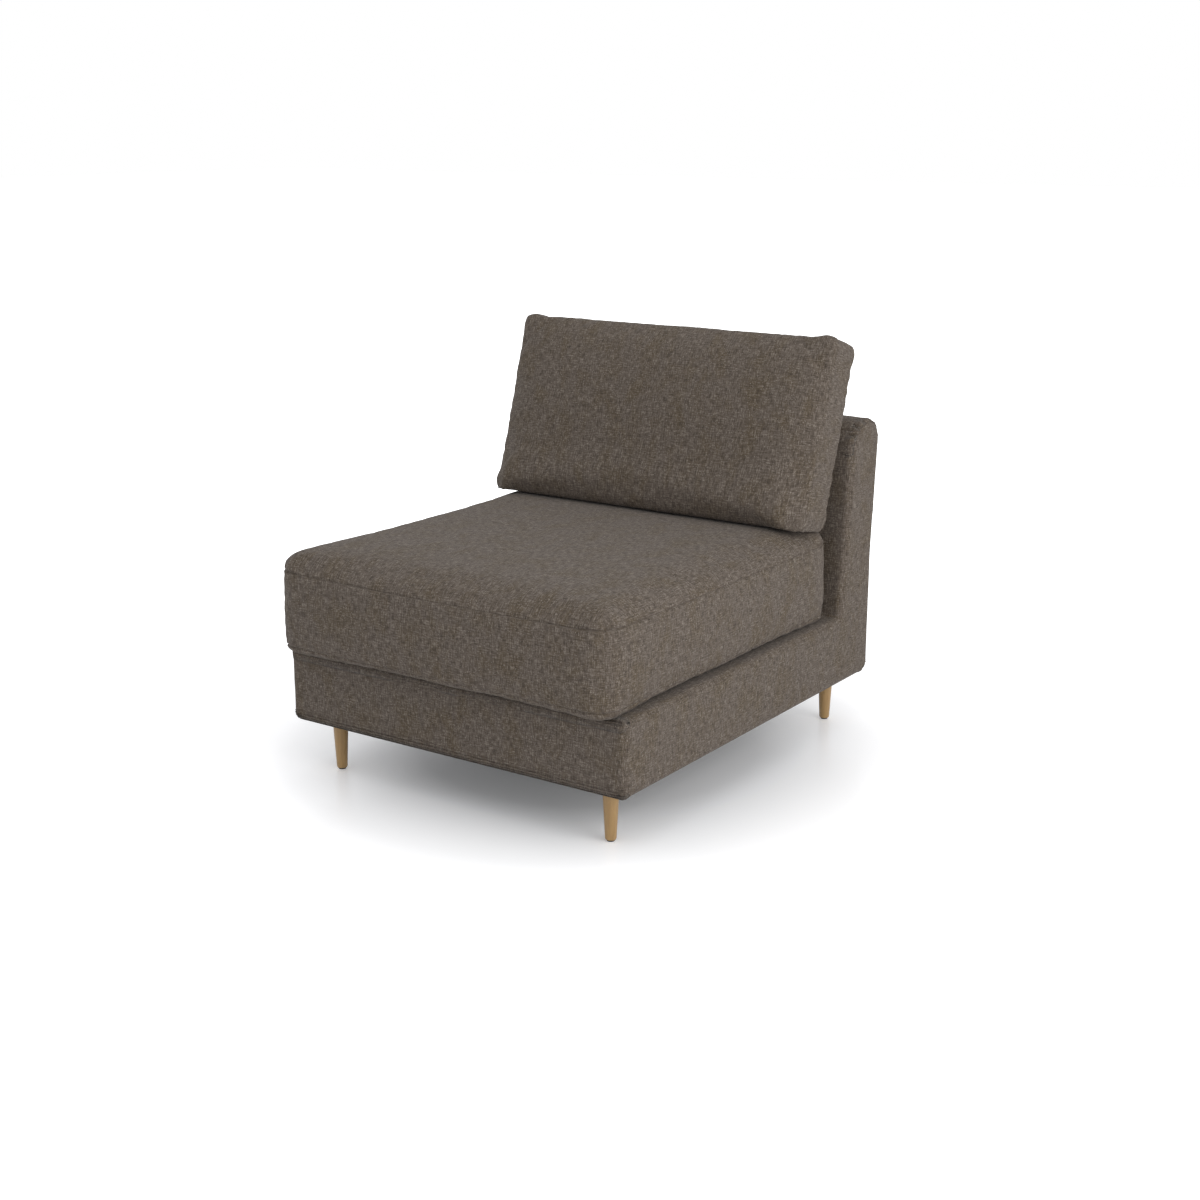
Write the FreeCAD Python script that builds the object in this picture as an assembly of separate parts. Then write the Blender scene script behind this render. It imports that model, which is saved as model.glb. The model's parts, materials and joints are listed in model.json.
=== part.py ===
import FreeCAD, Part
import math
import os

# An armless sofa module. Millimetres, +X to the right as seen from the front, +Y to the back, +Z up.
# The origin is on the floor, at the middle of the overall width and depth. Left and right are as seen
# from the front.

# Body sizes
base_width = 800.0
leg_height = 110.0
base_height = 148.0
backrest_height = 407.0
backrest_foot = 139.0
backrest_lean_deg = 5.2
rear_swell = 21.0
rear_swell_height = 280.0
cushion_overhang = 45.0
seat_rear_gap = 13.0

# Body roundings in the side view, and along the side edges
bottom_radius = 15.0
deck_front_radius = 15.0
inner_corner_radius = 6.0
crest_front_radius = 71.0
crest_rear_radius = 50.0
swell_radius = 150.0
rear_bottom_radius = 25.0
least_crest_radius = 20.0
least_radius = 3.0
crest_joint = 5.0
edge_radius = 12.0

# Cloth and padding
cloth = 1.5
side_padding = 6.0
front_padding = 6.0
rear_padding = 6.0
deck_padding = 14.0
inside_back_padding = 28.0
crest_padding = 22.0
felt_thickness = 2.5
turn_under = 32.0
dust_cloth = 0.8
dust_cover_inset = 14.0
padding_gap = 0.4

# Frame
panel_thickness = 18.0
rail_thickness = 22.0
board_thickness = 3.0
frame_floor_gap = 3.0
tab_height = 50.0
tab_clearance = 0.2
batten_width = 25.0
batten_height = 30.0
stretcher_height = 37.0
seat_back_rail_setback = 12.0
back_rail_height = 60.0
back_lower_rail_rise = 8.0
stile_width = 60.0
top_rail_width = 32.0
top_rail_height = 40.0
corner_block_leg = 45.0
corner_block_height = 70.0
lightening_length = 360.0
lightening_height = 55.0
tenon_length = 12.0
tenon_shoulder = 4.0
front_board_rise = 24.0
board_gap = 3.0
top_rail_drop = 6.0

# Webbing
strap_width = 50.0
strap_thickness = 1.6
strap_gap = 0.2
strap_pitch = 140.0
strap_count_along = 5
strap_count_across = 5
strap_ramp = 5.0
staple_wire = 1.2
staple_crown = 25.0
staple_leg = 10.0
staple_inset = 8.0
strap_hold = 30.0

# Legs and their fasteners
leg_top_radius = 16.25
leg_foot_radius = 10.75
leg_foot_bevel = 1.5
leg_flats = 32
leg_inset_side = 71.0
leg_inset_front = 60.0
leg_inset_rear = 56.0
plate_length = 120.0
plate_width = 110.0
plate_tab = 45.0
bolt_radius = 4.0
bolt_in_leg = 32.0
bolt_above_nut = 2.0
hole_clearance = 0.15
nut_flats = 13.0
nut_height = 6.5
glide_radius = 7.5
glide_thickness = 2.5

# Cushions
cushion_shift = -10.0
soft_gap = 0.4
fill_gap = 0.5
seat_width = 796.0
seat_depth = 840.0
seat_side_height = 197.0
seat_crown = 10.0
seat_corner_radius = 46.0
seat_front_bow = 12.0
seat_side_bow = 4.0
seat_edge_draw = 52.0
seat_slope_draw = 110.0
seat_wall = 14.0
wrap_thickness = 18.0
back_width = 792.0
back_top = 193.5
back_thickness = 90.0
back_front_crown = 30.0
back_rear_crown = 26.0
back_corner_radius = 24.0
back_draw_in = 6.0
back_wall = 12.0
back_cushion_lean_deg = 18.5
back_cushion_ahead = 28.0
back_cushion_z = 401.0

# Zips
zip_length = 660.0
zip_tape_width = 24.0
zip_tape_thickness = 1.4
zip_end = 6.0
zip_chain_width = 5.0
zip_chain_height = 1.6
zip_clearance = 0.3
slider_length = 12.0
slider_wall = 1.2
pull_length = 22.0
pull_width = 7.0
pull_thickness = 1.4
seat_zip_height = 107.0
back_zip_ahead = 86.0
back_zip_recess = 8.0

# Derived places
base_depth = seat_depth - cushion_overhang + seat_rear_gap + backrest_foot
front_y = cushion_overhang - (base_depth + rear_swell + cushion_overhang) / 2
rear_y = front_y + base_depth
bottom_z = leg_height
deck_z = bottom_z + base_height
top_z = deck_z + backrest_height
inside_y = rear_y - backrest_foot
back_slope = math.tan(math.radians(backrest_lean_deg))
crest_z = top_z - crest_front_radius - crest_joint
backrest_middle_y = (inside_y + rear_y) / 2
front_board_height = crest_z - deck_z - front_board_rise - board_gap
back_upper_rail_rise = front_board_rise + front_board_height - back_rail_height
panel_outer_x = base_width / 2 - cloth - side_padding
panel_inner_x = panel_outer_x - panel_thickness
frame_front_y = front_y + cloth + front_padding
frame_rear_y = rear_y - cloth - rear_padding - board_thickness
frame_bottom_z = bottom_z + frame_floor_gap
panel_deck_z = deck_z - cloth - deck_padding
strap_stack = 2 * strap_thickness + strap_gap
rail_top_z = panel_deck_z - felt_thickness - strap_stack - strap_gap
front_rail_back_y = frame_front_y + rail_thickness
rear_rail_front_y = frame_rear_y - rail_thickness
seat_rail_y = inside_y - seat_back_rail_setback
leg_x = base_width / 2 - leg_inset_side
leg_front_y = front_y + leg_inset_front
leg_rear_y = rear_y - leg_inset_rear
plate_top_z = frame_bottom_z + panel_thickness
seat_bottom_z = deck_z + soft_gap
seat_center_y = front_y - cushion_overhang + seat_front_bow / 2 + seat_depth / 2


def vec(x, y, z):
    return FreeCAD.Vector(x, y, z)


def block(x0, x1, y0, y1, z0, z1):
    return Part.makeBox(x1 - x0, y1 - y0, z1 - z0, vec(x0, y0, z0))


def grown(sides, gap):
    x0, x1, y0, y1, z0, z1 = sides
    return block(x0 - gap, x1 + gap, y0 - gap, y1 + gap, z0 - gap, z1 + gap)


def fused(shapes):
    whole = shapes[0]
    for shape in shapes[1:]:
        whole = whole.fuse(shape)
    return whole.removeSplitter()


def mirrored(shape):
    return shape.mirror(vec(0, 0, 0), vec(1, 0, 0))


# A closed wire in a plane of constant x, through corners given as (y, z, radius)
def rounded_outline(corners, x):
    starts = []
    edges = []
    count = len(corners)
    for i in range(count):
        y, z, radius = corners[i]
        here = vec(x, y, z)
        before = vec(x, corners[i - 1][0], corners[i - 1][1])
        after = vec(x, corners[(i + 1) % count][0], corners[(i + 1) % count][1])
        coming = (before - here).normalize()
        going = (after - here).normalize()
        half_turn = (math.pi - coming.getAngle(going)) / 2
        reach = radius * math.tan(half_turn)
        inward = (coming + going).normalize()
        middle = here + inward * (radius / math.cos(half_turn) - radius)
        starts.append((here + coming * reach, middle, here + going * reach))
    for i in range(count):
        first, middle, last = starts[i]
        edges.append(Part.Arc(first, middle, last).toShape())
        edges.append(Part.LineSegment(last, starts[(i + 1) % count][0]).toShape())
    return Part.Wire(edges)


# The body's side outline, set in from its outer face by a depth for each stretch
def side_outline(x, front, bottom, deck, inside, crest, rear):
    low_z = bottom_z + bottom
    top = top_z - crest
    deck_top = deck_z - deck
    setback = inside / math.cos(math.radians(backrest_lean_deg))
    inside_low = inside_y + setback + (deck_top - deck_z) * back_slope
    inside_top = inside_y + setback + (top - deck_z) * back_slope
    swell_z = top_z - rear_swell_height
    rear_face = rear_y - rear
    crest_room = rear_y + rear_swell - inside_y - backrest_height * back_slope
    crest_front = min(crest_front_radius, 0.58 * crest_room)
    crest_rear = min(crest_rear_radius, 0.41 * crest_room)
    corners = [
        (front_y + front, low_z, max(bottom_radius - bottom, least_radius)),
        (front_y + front, deck_top, max(deck_front_radius - deck, least_radius)),
        (inside_low, deck_top, inner_corner_radius + inside),
        (inside_top, top, max(crest_front - inside, least_crest_radius)),
        (rear_face + rear_swell, top, max(crest_rear - crest, least_crest_radius)),
        (rear_face, swell_z, swell_radius),
        (rear_face, low_z, max(rear_bottom_radius - rear, least_radius)),
    ]
    return rounded_outline(corners, x)


def side_prism(x0, x1, front, bottom, deck, inside, crest, rear):
    face = Part.Face(side_outline(x0, front, bottom, deck, inside, crest, rear))
    return face.extrude(vec(x1 - x0, 0, 0))


# The whole body with its side edges rounded, set in by one depth all round
def body_form(inset):
    half = base_width / 2 - inset
    prism = side_prism(-half, half, inset, inset, inset, inset, inset, inset)
    edges = []
    for face in prism.Faces:
        if abs(abs(face.CenterOfMass.x) - half) < 0.01:
            edges.extend(face.Edges)
    if inset:
        return prism.makeChamfer(edge_radius * 0.6, edges)
    return prism.makeFillet(edge_radius, edges)


def outer_cover():
    shell = body_form(0).cut(body_form(cloth))
    half = base_width / 2 - turn_under
    mouth = block(-half, half, front_y + turn_under, rear_y - turn_under, bottom_z - 1, bottom_z + cloth + 1)
    return shell.cut(mouth)


def dust_cover():
    half = base_width / 2 - dust_cover_inset
    low = bottom_z - dust_cloth
    sheet = block(-half, half, front_y + dust_cover_inset, rear_y - rear_bottom_radius, low, bottom_z)
    for x, y in leg_places():
        place = vec(x, y, low - dust_cloth)
        sheet = sheet.cut(Part.makeCylinder(leg_top_radius + padding_gap, 3 * dust_cloth, place))
    return sheet


def leg_places():
    return [(-leg_x, leg_front_y), (leg_x, leg_front_y), (-leg_x, leg_rear_y), (leg_x, leg_rear_y)]


# Padding between the cloth and the frame, as slices of one band
def band(outer, inner, region):
    half = base_width / 2 - edge_radius - cloth
    ring = side_prism(-half, half, *outer).cut(side_prism(-half, half, *inner))
    return ring.common(region)


def padding_insets():
    skin = cloth + padding_gap
    board = cloth + rear_padding
    cloth_side = (skin, skin, skin, skin, skin, skin)
    frame_side = (
        cloth + front_padding,
        frame_floor_gap,
        cloth + deck_padding,
        cloth + inside_back_padding,
        cloth + crest_padding,
        board,
    )
    return cloth_side, frame_side


def padding_parts():
    cloth_side, frame_side = padding_insets()
    half = base_width
    frame_top_z = top_z - cloth - crest_padding
    inside_face_y = inside_y + cloth + inside_back_padding
    foot_z = deck_z - cloth - deck_padding
    low_z = bottom_z + rear_bottom_radius + cloth
    rear_limit = rear_y + rear_swell
    regions = {
        "front_wadding": block(-half, half, front_y, frame_front_y, bottom_z + edge_radius, panel_deck_z),
        "deck_foam": block(-half, half, front_y, inside_face_y, foot_z, deck_z),
        "back_foam": block(-half, half, inside_y, backrest_middle_y, deck_z, crest_z),
        "crest_foam": block(-half, half, inside_y, rear_limit, crest_z, top_z),
        "rear_wadding": block(-half, half, backrest_middle_y, rear_limit, low_z, crest_z),
    }
    pads = {}
    for name, region in regions.items():
        pads[name] = band(cloth_side, frame_side, region)
    return pads


# The outline that the bare frame fills, without its two thin boards
def frame_insets():
    outline = list(padding_insets()[1])
    outline[3] += board_thickness
    outline[5] += board_thickness
    return outline


def rear_board():
    outer = list(padding_insets()[1])
    inner = list(outer)
    inner[5] = outer[5] + board_thickness
    half = panel_outer_x
    low = bottom_z + rear_bottom_radius
    region = block(-half, half, backrest_middle_y, rear_y + rear_swell, low, crest_z)
    sheet = side_prism(-half, half, *outer).cut(side_prism(-half, half, *inner))
    return sheet.common(region)


def side_wadding():
    inset = edge_radius
    start = panel_outer_x
    return side_prism(start, start + side_padding - padding_gap, inset, inset, inset, inset, inset, inset)


# Shapes made upright behind the inside of the backrest, then leaned with it
def leaned(shape):
    shape.rotate(vec(0, inside_y, deck_z), vec(1, 0, 0), -backrest_lean_deg)
    return shape


def back_rail_sides(rise):
    depth = cloth + inside_back_padding + board_thickness
    y0 = inside_y + depth
    z0 = deck_z + rise
    return (-panel_inner_x, panel_inner_x, y0, y0 + rail_thickness, z0, z0 + back_rail_height)


def tab_sides(sides, height):
    x0, x1, y0, y1, z0, z1 = sides
    middle = (z0 + z1) / 2
    return (x1, x1 + panel_thickness, y0 + 3, y1 - 3, middle - height / 2, middle + height / 2)


def base_rails():
    half = panel_inner_x
    top = rail_top_z
    seat_rail_low = frame_bottom_z + stretcher_height
    return {
        "front_rail": (-half, half, frame_front_y, front_rail_back_y, frame_bottom_z, top),
        "seat_back_rail": (-half, half, seat_rail_y - rail_thickness, seat_rail_y, seat_rail_low, top),
        "rear_rail": (-half, half, rear_rail_front_y, frame_rear_y, frame_bottom_z, top),
    }


def top_rail_sides():
    high = top_z - cloth - crest_padding - top_rail_drop
    y0 = rear_y + rear_swell - crest_rear_radius - top_rail_width + 6
    return (-panel_inner_x, panel_inner_x, y0, y0 + top_rail_width, high - top_rail_height, high)


def stretcher_sides():
    half = rail_thickness / 2
    low = frame_bottom_z
    return (-half, half, front_rail_back_y, rear_rail_front_y, low, low + stretcher_height)


def stretcher_tenon_sides():
    x0, x1, y0, y1, z0, z1 = stretcher_sides()
    side = tenon_shoulder
    return (x0 + side, x1 - side, y0 - tenon_length, y1 + tenon_length, z0 + 2 * side, z1 - 2 * side)


# Leg plates, with one tab in the side panel and one in the rail beside it
def plate_boxes(front):
    if front:
        y0 = front_rail_back_y
        y1 = y0 + plate_width
        rail_tab = (y0 - rail_thickness, y0)
    else:
        y1 = rear_rail_front_y
        y0 = y1 - plate_width
        rail_tab = (y1, y1 + rail_thickness)
    x1 = panel_inner_x
    x0 = x1 - plate_length
    low = frame_bottom_z
    high = plate_top_z
    middle_y = (y0 + y1) / 2
    middle_x = (x0 + x1) / 2
    body = (x0, x1, y0, y1, low, high)
    side_tab = (x1, x1 + panel_thickness, middle_y - plate_tab / 2, middle_y + plate_tab / 2, low + 4, high)
    end_tab = (middle_x - plate_tab / 2, middle_x + plate_tab / 2, rail_tab[0], rail_tab[1], low + 4, high)
    return body, side_tab, end_tab


def leg_plate(front):
    body, side_tab, end_tab = plate_boxes(front)
    y = leg_front_y if front else leg_rear_y
    plate = fused([block(*body), block(*side_tab), block(*end_tab)])
    hole_radius = bolt_radius + hole_clearance
    return plate.cut(Part.makeCylinder(hole_radius, 2 * panel_thickness, vec(leg_x, y, frame_bottom_z - 5)))


def corner_block(front):
    size = corner_block_leg
    x = panel_inner_x
    y = front_rail_back_y if front else rear_rail_front_y
    inward = size if front else -size
    z = plate_top_z
    points = [vec(x, y, z), vec(x - size, y, z), vec(x, y + inward, z), vec(x, y, z)]
    return Part.Face(Part.makePolygon(points)).extrude(vec(0, 0, corner_block_height))


def side_panel():
    panel = side_prism(panel_inner_x, panel_outer_x, *frame_insets())
    for sides in base_rails().values():
        panel = panel.cut(grown(tab_sides(sides, tab_height), tab_clearance))
    panel = panel.cut(grown(tab_sides(top_rail_sides(), top_rail_height / 2), tab_clearance))
    for rise in (back_lower_rail_rise, back_upper_rail_rise):
        slot = grown(tab_sides(back_rail_sides(rise), back_rail_height / 2), tab_clearance)
        panel = panel.cut(leaned(slot))
    for front in (True, False):
        panel = panel.cut(grown(plate_boxes(front)[1], tab_clearance))
    middle_y = (frame_front_y + seat_rail_y) / 2
    middle_z = (plate_top_z + rail_top_z - batten_height) / 2
    half = lightening_length / 2
    high = lightening_height / 2
    round_end = high - 1
    corners = [
        (middle_y - half, middle_z - high, round_end),
        (middle_y - half, middle_z + high, round_end),
        (middle_y + half, middle_z + high, round_end),
        (middle_y + half, middle_z - high, round_end),
    ]
    hole = Part.Face(rounded_outline(corners, panel_inner_x - 1)).extrude(vec(panel_thickness + 2, 0, 0))
    return panel.cut(hole)


def rail_with_tabs(sides, height):
    tab = block(*tab_sides(sides, height))
    return fused([block(*sides), tab, mirrored(tab)])


def batten_sides():
    x1 = panel_inner_x
    y1 = seat_rail_y - rail_thickness
    return (x1 - batten_width, x1, front_rail_back_y, y1, rail_top_z - batten_height, rail_top_z)


# Interlaced webbing: a strap rises where it goes over and lies low where it goes under
def strap_path(start, end, crossings, over_first):
    low = rail_top_z
    high = low + strap_thickness + strap_gap
    reach = strap_width / 2 + strap_ramp
    path = [(start, low), (start + strap_hold, low)]
    over = over_first
    for place in crossings:
        level = high if over else low
        path.append((place - reach, level))
        path.append((place + reach, level))
        over = not over
    path.extend([(end - strap_hold, low), (end, low)])
    upper = [(s, z + strap_thickness) for s, z in reversed(path)]
    return path + upper + [path[0]]


def strap_centers(count, middle):
    return [middle + (i - (count - 1) / 2) * strap_pitch for i in range(count)]


def long_strap(x, over_first, crossings):
    path = strap_path(frame_front_y + 2, seat_rail_y - 2, crossings, over_first)
    points = [vec(x - strap_width / 2, s, z) for s, z in path]
    return Part.Face(Part.makePolygon(points)).extrude(vec(strap_width, 0, 0))


def cross_strap(y, over_first, crossings):
    reach = panel_inner_x - 1
    path = strap_path(-reach, reach, crossings, over_first)
    points = [vec(s, y - strap_width / 2, z) for s, z in path]
    return Part.Face(Part.makePolygon(points)).extrude(vec(0, strap_width, 0))


# A staple across its strap's end: its crown lies on the strap and its legs go into the wood
def staple(x, y):
    half = staple_crown / 2
    wire = staple_wire
    top = rail_top_z + strap_thickness
    low = top - staple_leg
    crown = block(-half, half, -wire / 2, wire / 2, top, top + wire)
    first = block(-half, wire - half, -wire / 2, wire / 2, low, top + wire)
    last = block(half - wire, half, -wire / 2, wire / 2, low, top + wire)
    whole = fused([crown, first, last])
    whole.translate(vec(x, y, 0))
    return whole


def turned_staple(x, y):
    whole = staple(0, 0)
    whole.rotate(vec(0, 0, 0), vec(0, 0, 1), 90)
    whole.translate(vec(x, y, 0))
    return whole


def staples(long_x, cross_y):
    found = []
    for x in long_x:
        found.append(staple(x, frame_front_y + staple_inset))
        found.append(staple(x, seat_rail_y - staple_inset))
    for y in cross_y:
        found.append(turned_staple(staple_inset - panel_inner_x, y))
        found.append(turned_staple(panel_inner_x - staple_inset, y))
    return Part.makeCompound(found)


def webbing_parts():
    long_x = strap_centers(strap_count_along, 0)
    cross_y = strap_centers(strap_count_across, (frame_front_y + seat_rail_y) / 2)
    fastened = staples(long_x, cross_y)
    longs = [long_strap(x, i % 2 == 0, cross_y) for i, x in enumerate(long_x)]
    crosses = [cross_strap(y, i % 2 == 1, long_x) for i, y in enumerate(cross_y)]
    return {
        "webbing_staples": fastened,
        "webbing_long": Part.makeCompound([strap.cut(fastened) for strap in longs]),
        "webbing_cross": Part.makeCompound([strap.cut(fastened) for strap in crosses]),
    }


# A tapered leg, its round side laid as narrow flats between rings given as (radius, z)
def tapered(x, y, rings):
    rows = []
    for radius, z in rings:
        turns = [2 * math.pi * k / leg_flats for k in range(leg_flats + 1)]
        rows.append([vec(x + radius * math.cos(t), y + radius * math.sin(t), z) for t in turns])
    faces = [Part.Face(Part.makePolygon(rows[0])), Part.Face(Part.makePolygon(rows[-1]))]
    for low, high in zip(rows, rows[1:]):
        for k in range(leg_flats):
            faces.append(Part.Face(Part.makePolygon([low[k], low[k + 1], high[k + 1], high[k], low[k]])))
    return Part.makeSolid(Part.makeShell(faces))


def leg(x, y):
    low = glide_thickness
    high = frame_bottom_z
    foot = leg_foot_radius
    bevel = leg_foot_bevel
    solid = tapered(x, y, [(foot - bevel, low), (foot, low + bevel), (leg_top_radius, high)])
    reach = bolt_in_leg + 1
    return solid.cut(Part.makeCylinder(bolt_radius + hole_clearance, reach + 1, vec(x, y, high - reach)))


def foot_glide(x, y):
    return Part.makeCylinder(glide_radius, glide_thickness, vec(x, y, 0))


def hanger_bolt(x, y):
    low = frame_bottom_z - bolt_in_leg
    high = plate_top_z + nut_height + bolt_above_nut
    return Part.makeCylinder(bolt_radius, high - low, vec(x, y, low))


# A hexagonal nut, tightened down on its leg plate
def bolt_nut(x, y):
    corner = nut_flats / math.sqrt(3)
    turns = [math.pi * k / 3 for k in range(7)]
    outline = [vec(x + corner * math.cos(t), y + corner * math.sin(t), plate_top_z) for t in turns]
    prism = Part.Face(Part.makePolygon(outline)).extrude(vec(0, 0, nut_height))
    place = vec(x, y, plate_top_z - nut_height)
    return prism.cut(Part.makeCylinder(bolt_radius + hole_clearance, 3 * nut_height, place))


# One flat ring of a cushion in the XY plane, whose right, rear, left and front sides bow out or draw in
def ring(x, y, z, sides, radius, bows):
    x0, x1, y0, y1 = sides
    right_bow, rear_bow, left_bow, front_bow = bows
    k = radius * (1 - math.sqrt(0.5))
    middle_x = (x0 + x1) / 2
    middle_y = (y0 + y1) / 2
    corners = [
        (vec(x1 - radius, y0, 0), vec(x1 - k, y0 + k, 0), vec(x1, y0 + radius, 0)),
        (vec(x1, y1 - radius, 0), vec(x1 - k, y1 - k, 0), vec(x1 - radius, y1, 0)),
        (vec(x0 + radius, y1, 0), vec(x0 + k, y1 - k, 0), vec(x0, y1 - radius, 0)),
        (vec(x0, y0 + radius, 0), vec(x0 + k, y0 + k, 0), vec(x0 + radius, y0, 0)),
    ]
    middles = [
        vec(x1 + right_bow, middle_y, 0),
        vec(middle_x, y1 + rear_bow, 0),
        vec(x0 - left_bow, middle_y, 0),
        vec(middle_x, y0 - front_bow, 0),
    ]
    place = vec(x, y, z)
    edges = []
    for i in range(4):
        first, middle, last = corners[i]
        following = corners[(i + 1) % 4][0]
        edges.append(Part.Arc(place + first, place + middle, place + last).toShape())
        if bows[i]:
            edges.append(Part.Arc(place + last, place + middles[i], place + following).toShape())
        else:
            edges.append(Part.LineSegment(place + last, place + following).toShape())
    return Part.Wire(edges)


# The seat cushion's rings: height above its foot, and how far they draw in
def seat_form(grow):
    side = seat_side_height
    steps = [
        (0.0, 16.0),
        (6.0, 8.0),
        (28.0, 2.0),
        (60.0, 0.0),
        (135.0, 0.0),
        (165.0, 3.0),
        (184.0, 13.0),
        (side, seat_edge_draw),
        (side + seat_crown, seat_slope_draw),
    ]
    return seat_loft(steps, grow)


def seat_loft(steps, grow):
    wires = []
    height = seat_side_height + seat_crown
    for rise, draw in steps:
        z = seat_bottom_z + rise + grow * (2 * rise / height - 1)
        fullness = max(0.0, 1 - draw / 40.0)
        side_bow = seat_side_bow * fullness
        half_width = seat_width / 2 - seat_side_bow - draw + grow
        half_depth = (seat_depth - seat_front_bow) / 2 - draw + grow
        sides = (-half_width, half_width, -half_depth, half_depth)
        bows = (side_bow, 0, side_bow, seat_front_bow * fullness)
        wires.append(ring(cushion_shift, seat_center_y, z, sides, seat_corner_radius, bows))
    return Part.makeLoft(wires, True, True)


def seat_filling(inset):
    wall = seat_wall
    top = seat_side_height - 0.8 * wall
    steps = [(0.3 * wall, 1.6 * wall), (wall, wall), (top - 2 * wall, wall), (top, 2.6 * wall)]
    return seat_loft(steps, -inset)


# The block of foam inside the seat cushion's wrap, or the room that it fills
def seat_foam(gap):
    side = seat_wall + wrap_thickness
    half_width = seat_width / 2 - seat_side_bow - side + gap
    half_depth = (seat_depth - seat_front_bow) / 2 - side + gap
    low = seat_bottom_z + side - gap
    high = seat_bottom_z + seat_side_height - side + gap
    x0 = cushion_shift - half_width
    x1 = cushion_shift + half_width
    return block(x0, x1, seat_center_y - half_depth, seat_center_y + half_depth, low, high)


# How high the back cushion's foot lies on the seat, at a level through its thickness
def back_foot(level):
    lean = math.radians(back_cushion_lean_deg)
    rear_edge = seat_center_y + (seat_depth - seat_front_bow) / 2
    edge_z = seat_bottom_z + seat_side_height + soft_gap
    slope = seat_crown / (seat_slope_draw - seat_edge_draw)
    ahead = rear_edge - seat_edge_draw - (inside_y - back_cushion_ahead)
    rise = edge_z - (deck_z + back_cushion_z) + slope * ahead
    gain = slope * math.cos(lean) - math.sin(lean)
    return (rise + level * gain) / (math.cos(lean) + slope * math.sin(lean))


# The back cushion is made lying on its back, then stood up along its lean
def back_form():
    half = back_thickness / 2
    steps = [
        (-half - back_rear_crown, 110.0),
        (-half - 0.62 * back_rear_crown, 46.0),
        (-half, 3.0),
        (0.0, 0.0),
        (half, 3.0),
        (half + 0.62 * back_front_crown, 46.0),
        (half + back_front_crown, 110.0),
    ]
    return back_loft(steps)


def back_loft(steps):
    wires = []
    for level, draw in steps:
        pull = -back_draw_in * max(0.0, 1 - draw / 40.0)
        reach = back_width / 2 - draw
        foot = back_foot(level) + max(0.0, draw - 5.0)
        sides = (-reach, reach, foot, back_top - draw)
        wires.append(ring(0, 0, level, sides, back_corner_radius, (pull, pull, pull, 0)))
    form = Part.makeLoft(wires, True, True)
    form.rotate(vec(0, 0, 0), vec(1, 0, 0), 90 - back_cushion_lean_deg)
    form.translate(vec(cushion_shift, inside_y - back_cushion_ahead, deck_z + back_cushion_z))
    return form


def back_filling(inset):
    half = back_thickness / 2
    wall = back_wall + inset
    steps = [
        (inset - half - 0.4 * back_rear_crown, 3.4 * wall),
        (0.5 * wall - half, 1.5 * wall),
        (half - 0.5 * wall, 1.5 * wall),
        (half + 0.4 * back_front_crown - inset, 3.4 * wall),
    ]
    return back_loft(steps)


# Zips lie along X on a face that looks along +Y: a tape in a shallow bed, its chain, and a slider on it
def zip_bed(depth):
    half = zip_length / 2 + tab_clearance
    wide = zip_tape_width / 2 + tab_clearance
    return block(-half, half, -depth, depth, -wide, wide)


def zip_tape():
    half = zip_length / 2
    wide = zip_tape_width / 2
    chain = zip_chain_width / 2
    floor = -zip_tape_thickness - zip_chain_height
    tape = block(-half, half, floor, floor + zip_tape_thickness, -wide, wide)
    teeth = block(zip_end - half, half - zip_end, floor + zip_tape_thickness, 0, -chain, chain)
    return fused([tape, teeth])


def zip_slider():
    x1 = zip_length / 2 - zip_end
    x0 = x1 - slider_length
    groove = zip_chain_width / 2 + zip_clearance
    wide = groove + slider_wall
    low = zip_clearance - zip_chain_height
    high = zip_clearance + slider_wall
    body = block(x0, x1, low, high, -wide, wide)
    body = body.cut(block(x0 - 1, x1 + 1, low - 1, zip_clearance, -groove, groove))
    middle = (x0 + x1) / 2
    half = pull_width / 2
    pull = block(middle - pull_length, middle, high, high + pull_thickness, -half, half)
    return fused([body, pull])


def at_seat_rear(shape):
    rear_edge = seat_center_y + (seat_depth - seat_front_bow) / 2
    shape.translate(vec(cushion_shift, rear_edge, seat_bottom_z + seat_zip_height))
    return shape


# The back cushion's zip looks down, sunk in the cushion's foot
def at_back_foot(shape):
    y = inside_y - back_zip_ahead
    rear_edge = seat_center_y + (seat_depth - seat_front_bow) / 2
    slope = seat_crown / (seat_slope_draw - seat_edge_draw)
    z = seat_bottom_z + seat_side_height + soft_gap + slope * (rear_edge - seat_edge_draw - y)
    shape.rotate(vec(0, 0, 0), vec(1, 0, 0), -90)
    shape.translate(vec(cushion_shift, y, z + back_zip_recess - zip_tape_thickness - zip_chain_height))
    return shape


def seat_cushion_parts():
    bed = at_seat_rear(zip_bed(zip_tape_thickness + zip_chain_height))
    return {
        "seat_cushion_cover": seat_form(0).cut(seat_filling(0)).cut(bed),
        "seat_cushion_wrap": seat_filling(fill_gap).cut(seat_foam(fill_gap)),
        "seat_cushion_foam": seat_foam(0),
        "seat_zip_tape": at_seat_rear(zip_tape()),
        "seat_zip_slider": at_seat_rear(zip_slider()),
    }


def back_cushion_parts():
    pocket = zip_bed(zip_tape_thickness + zip_chain_height)
    mouth = zip_bed(2 * back_zip_recess)
    mouth.translate(vec(0, 2 * back_zip_recess, 0))
    pocket = at_back_foot(fused([pocket, mouth]))
    return {
        "back_cushion_cover": back_form().cut(back_filling(0)).cut(pocket),
        "back_cushion_insert": back_filling(fill_gap).cut(pocket),
        "back_zip_tape": at_back_foot(zip_tape()),
        "back_zip_slider": at_back_foot(zip_slider()),
    }


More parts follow.
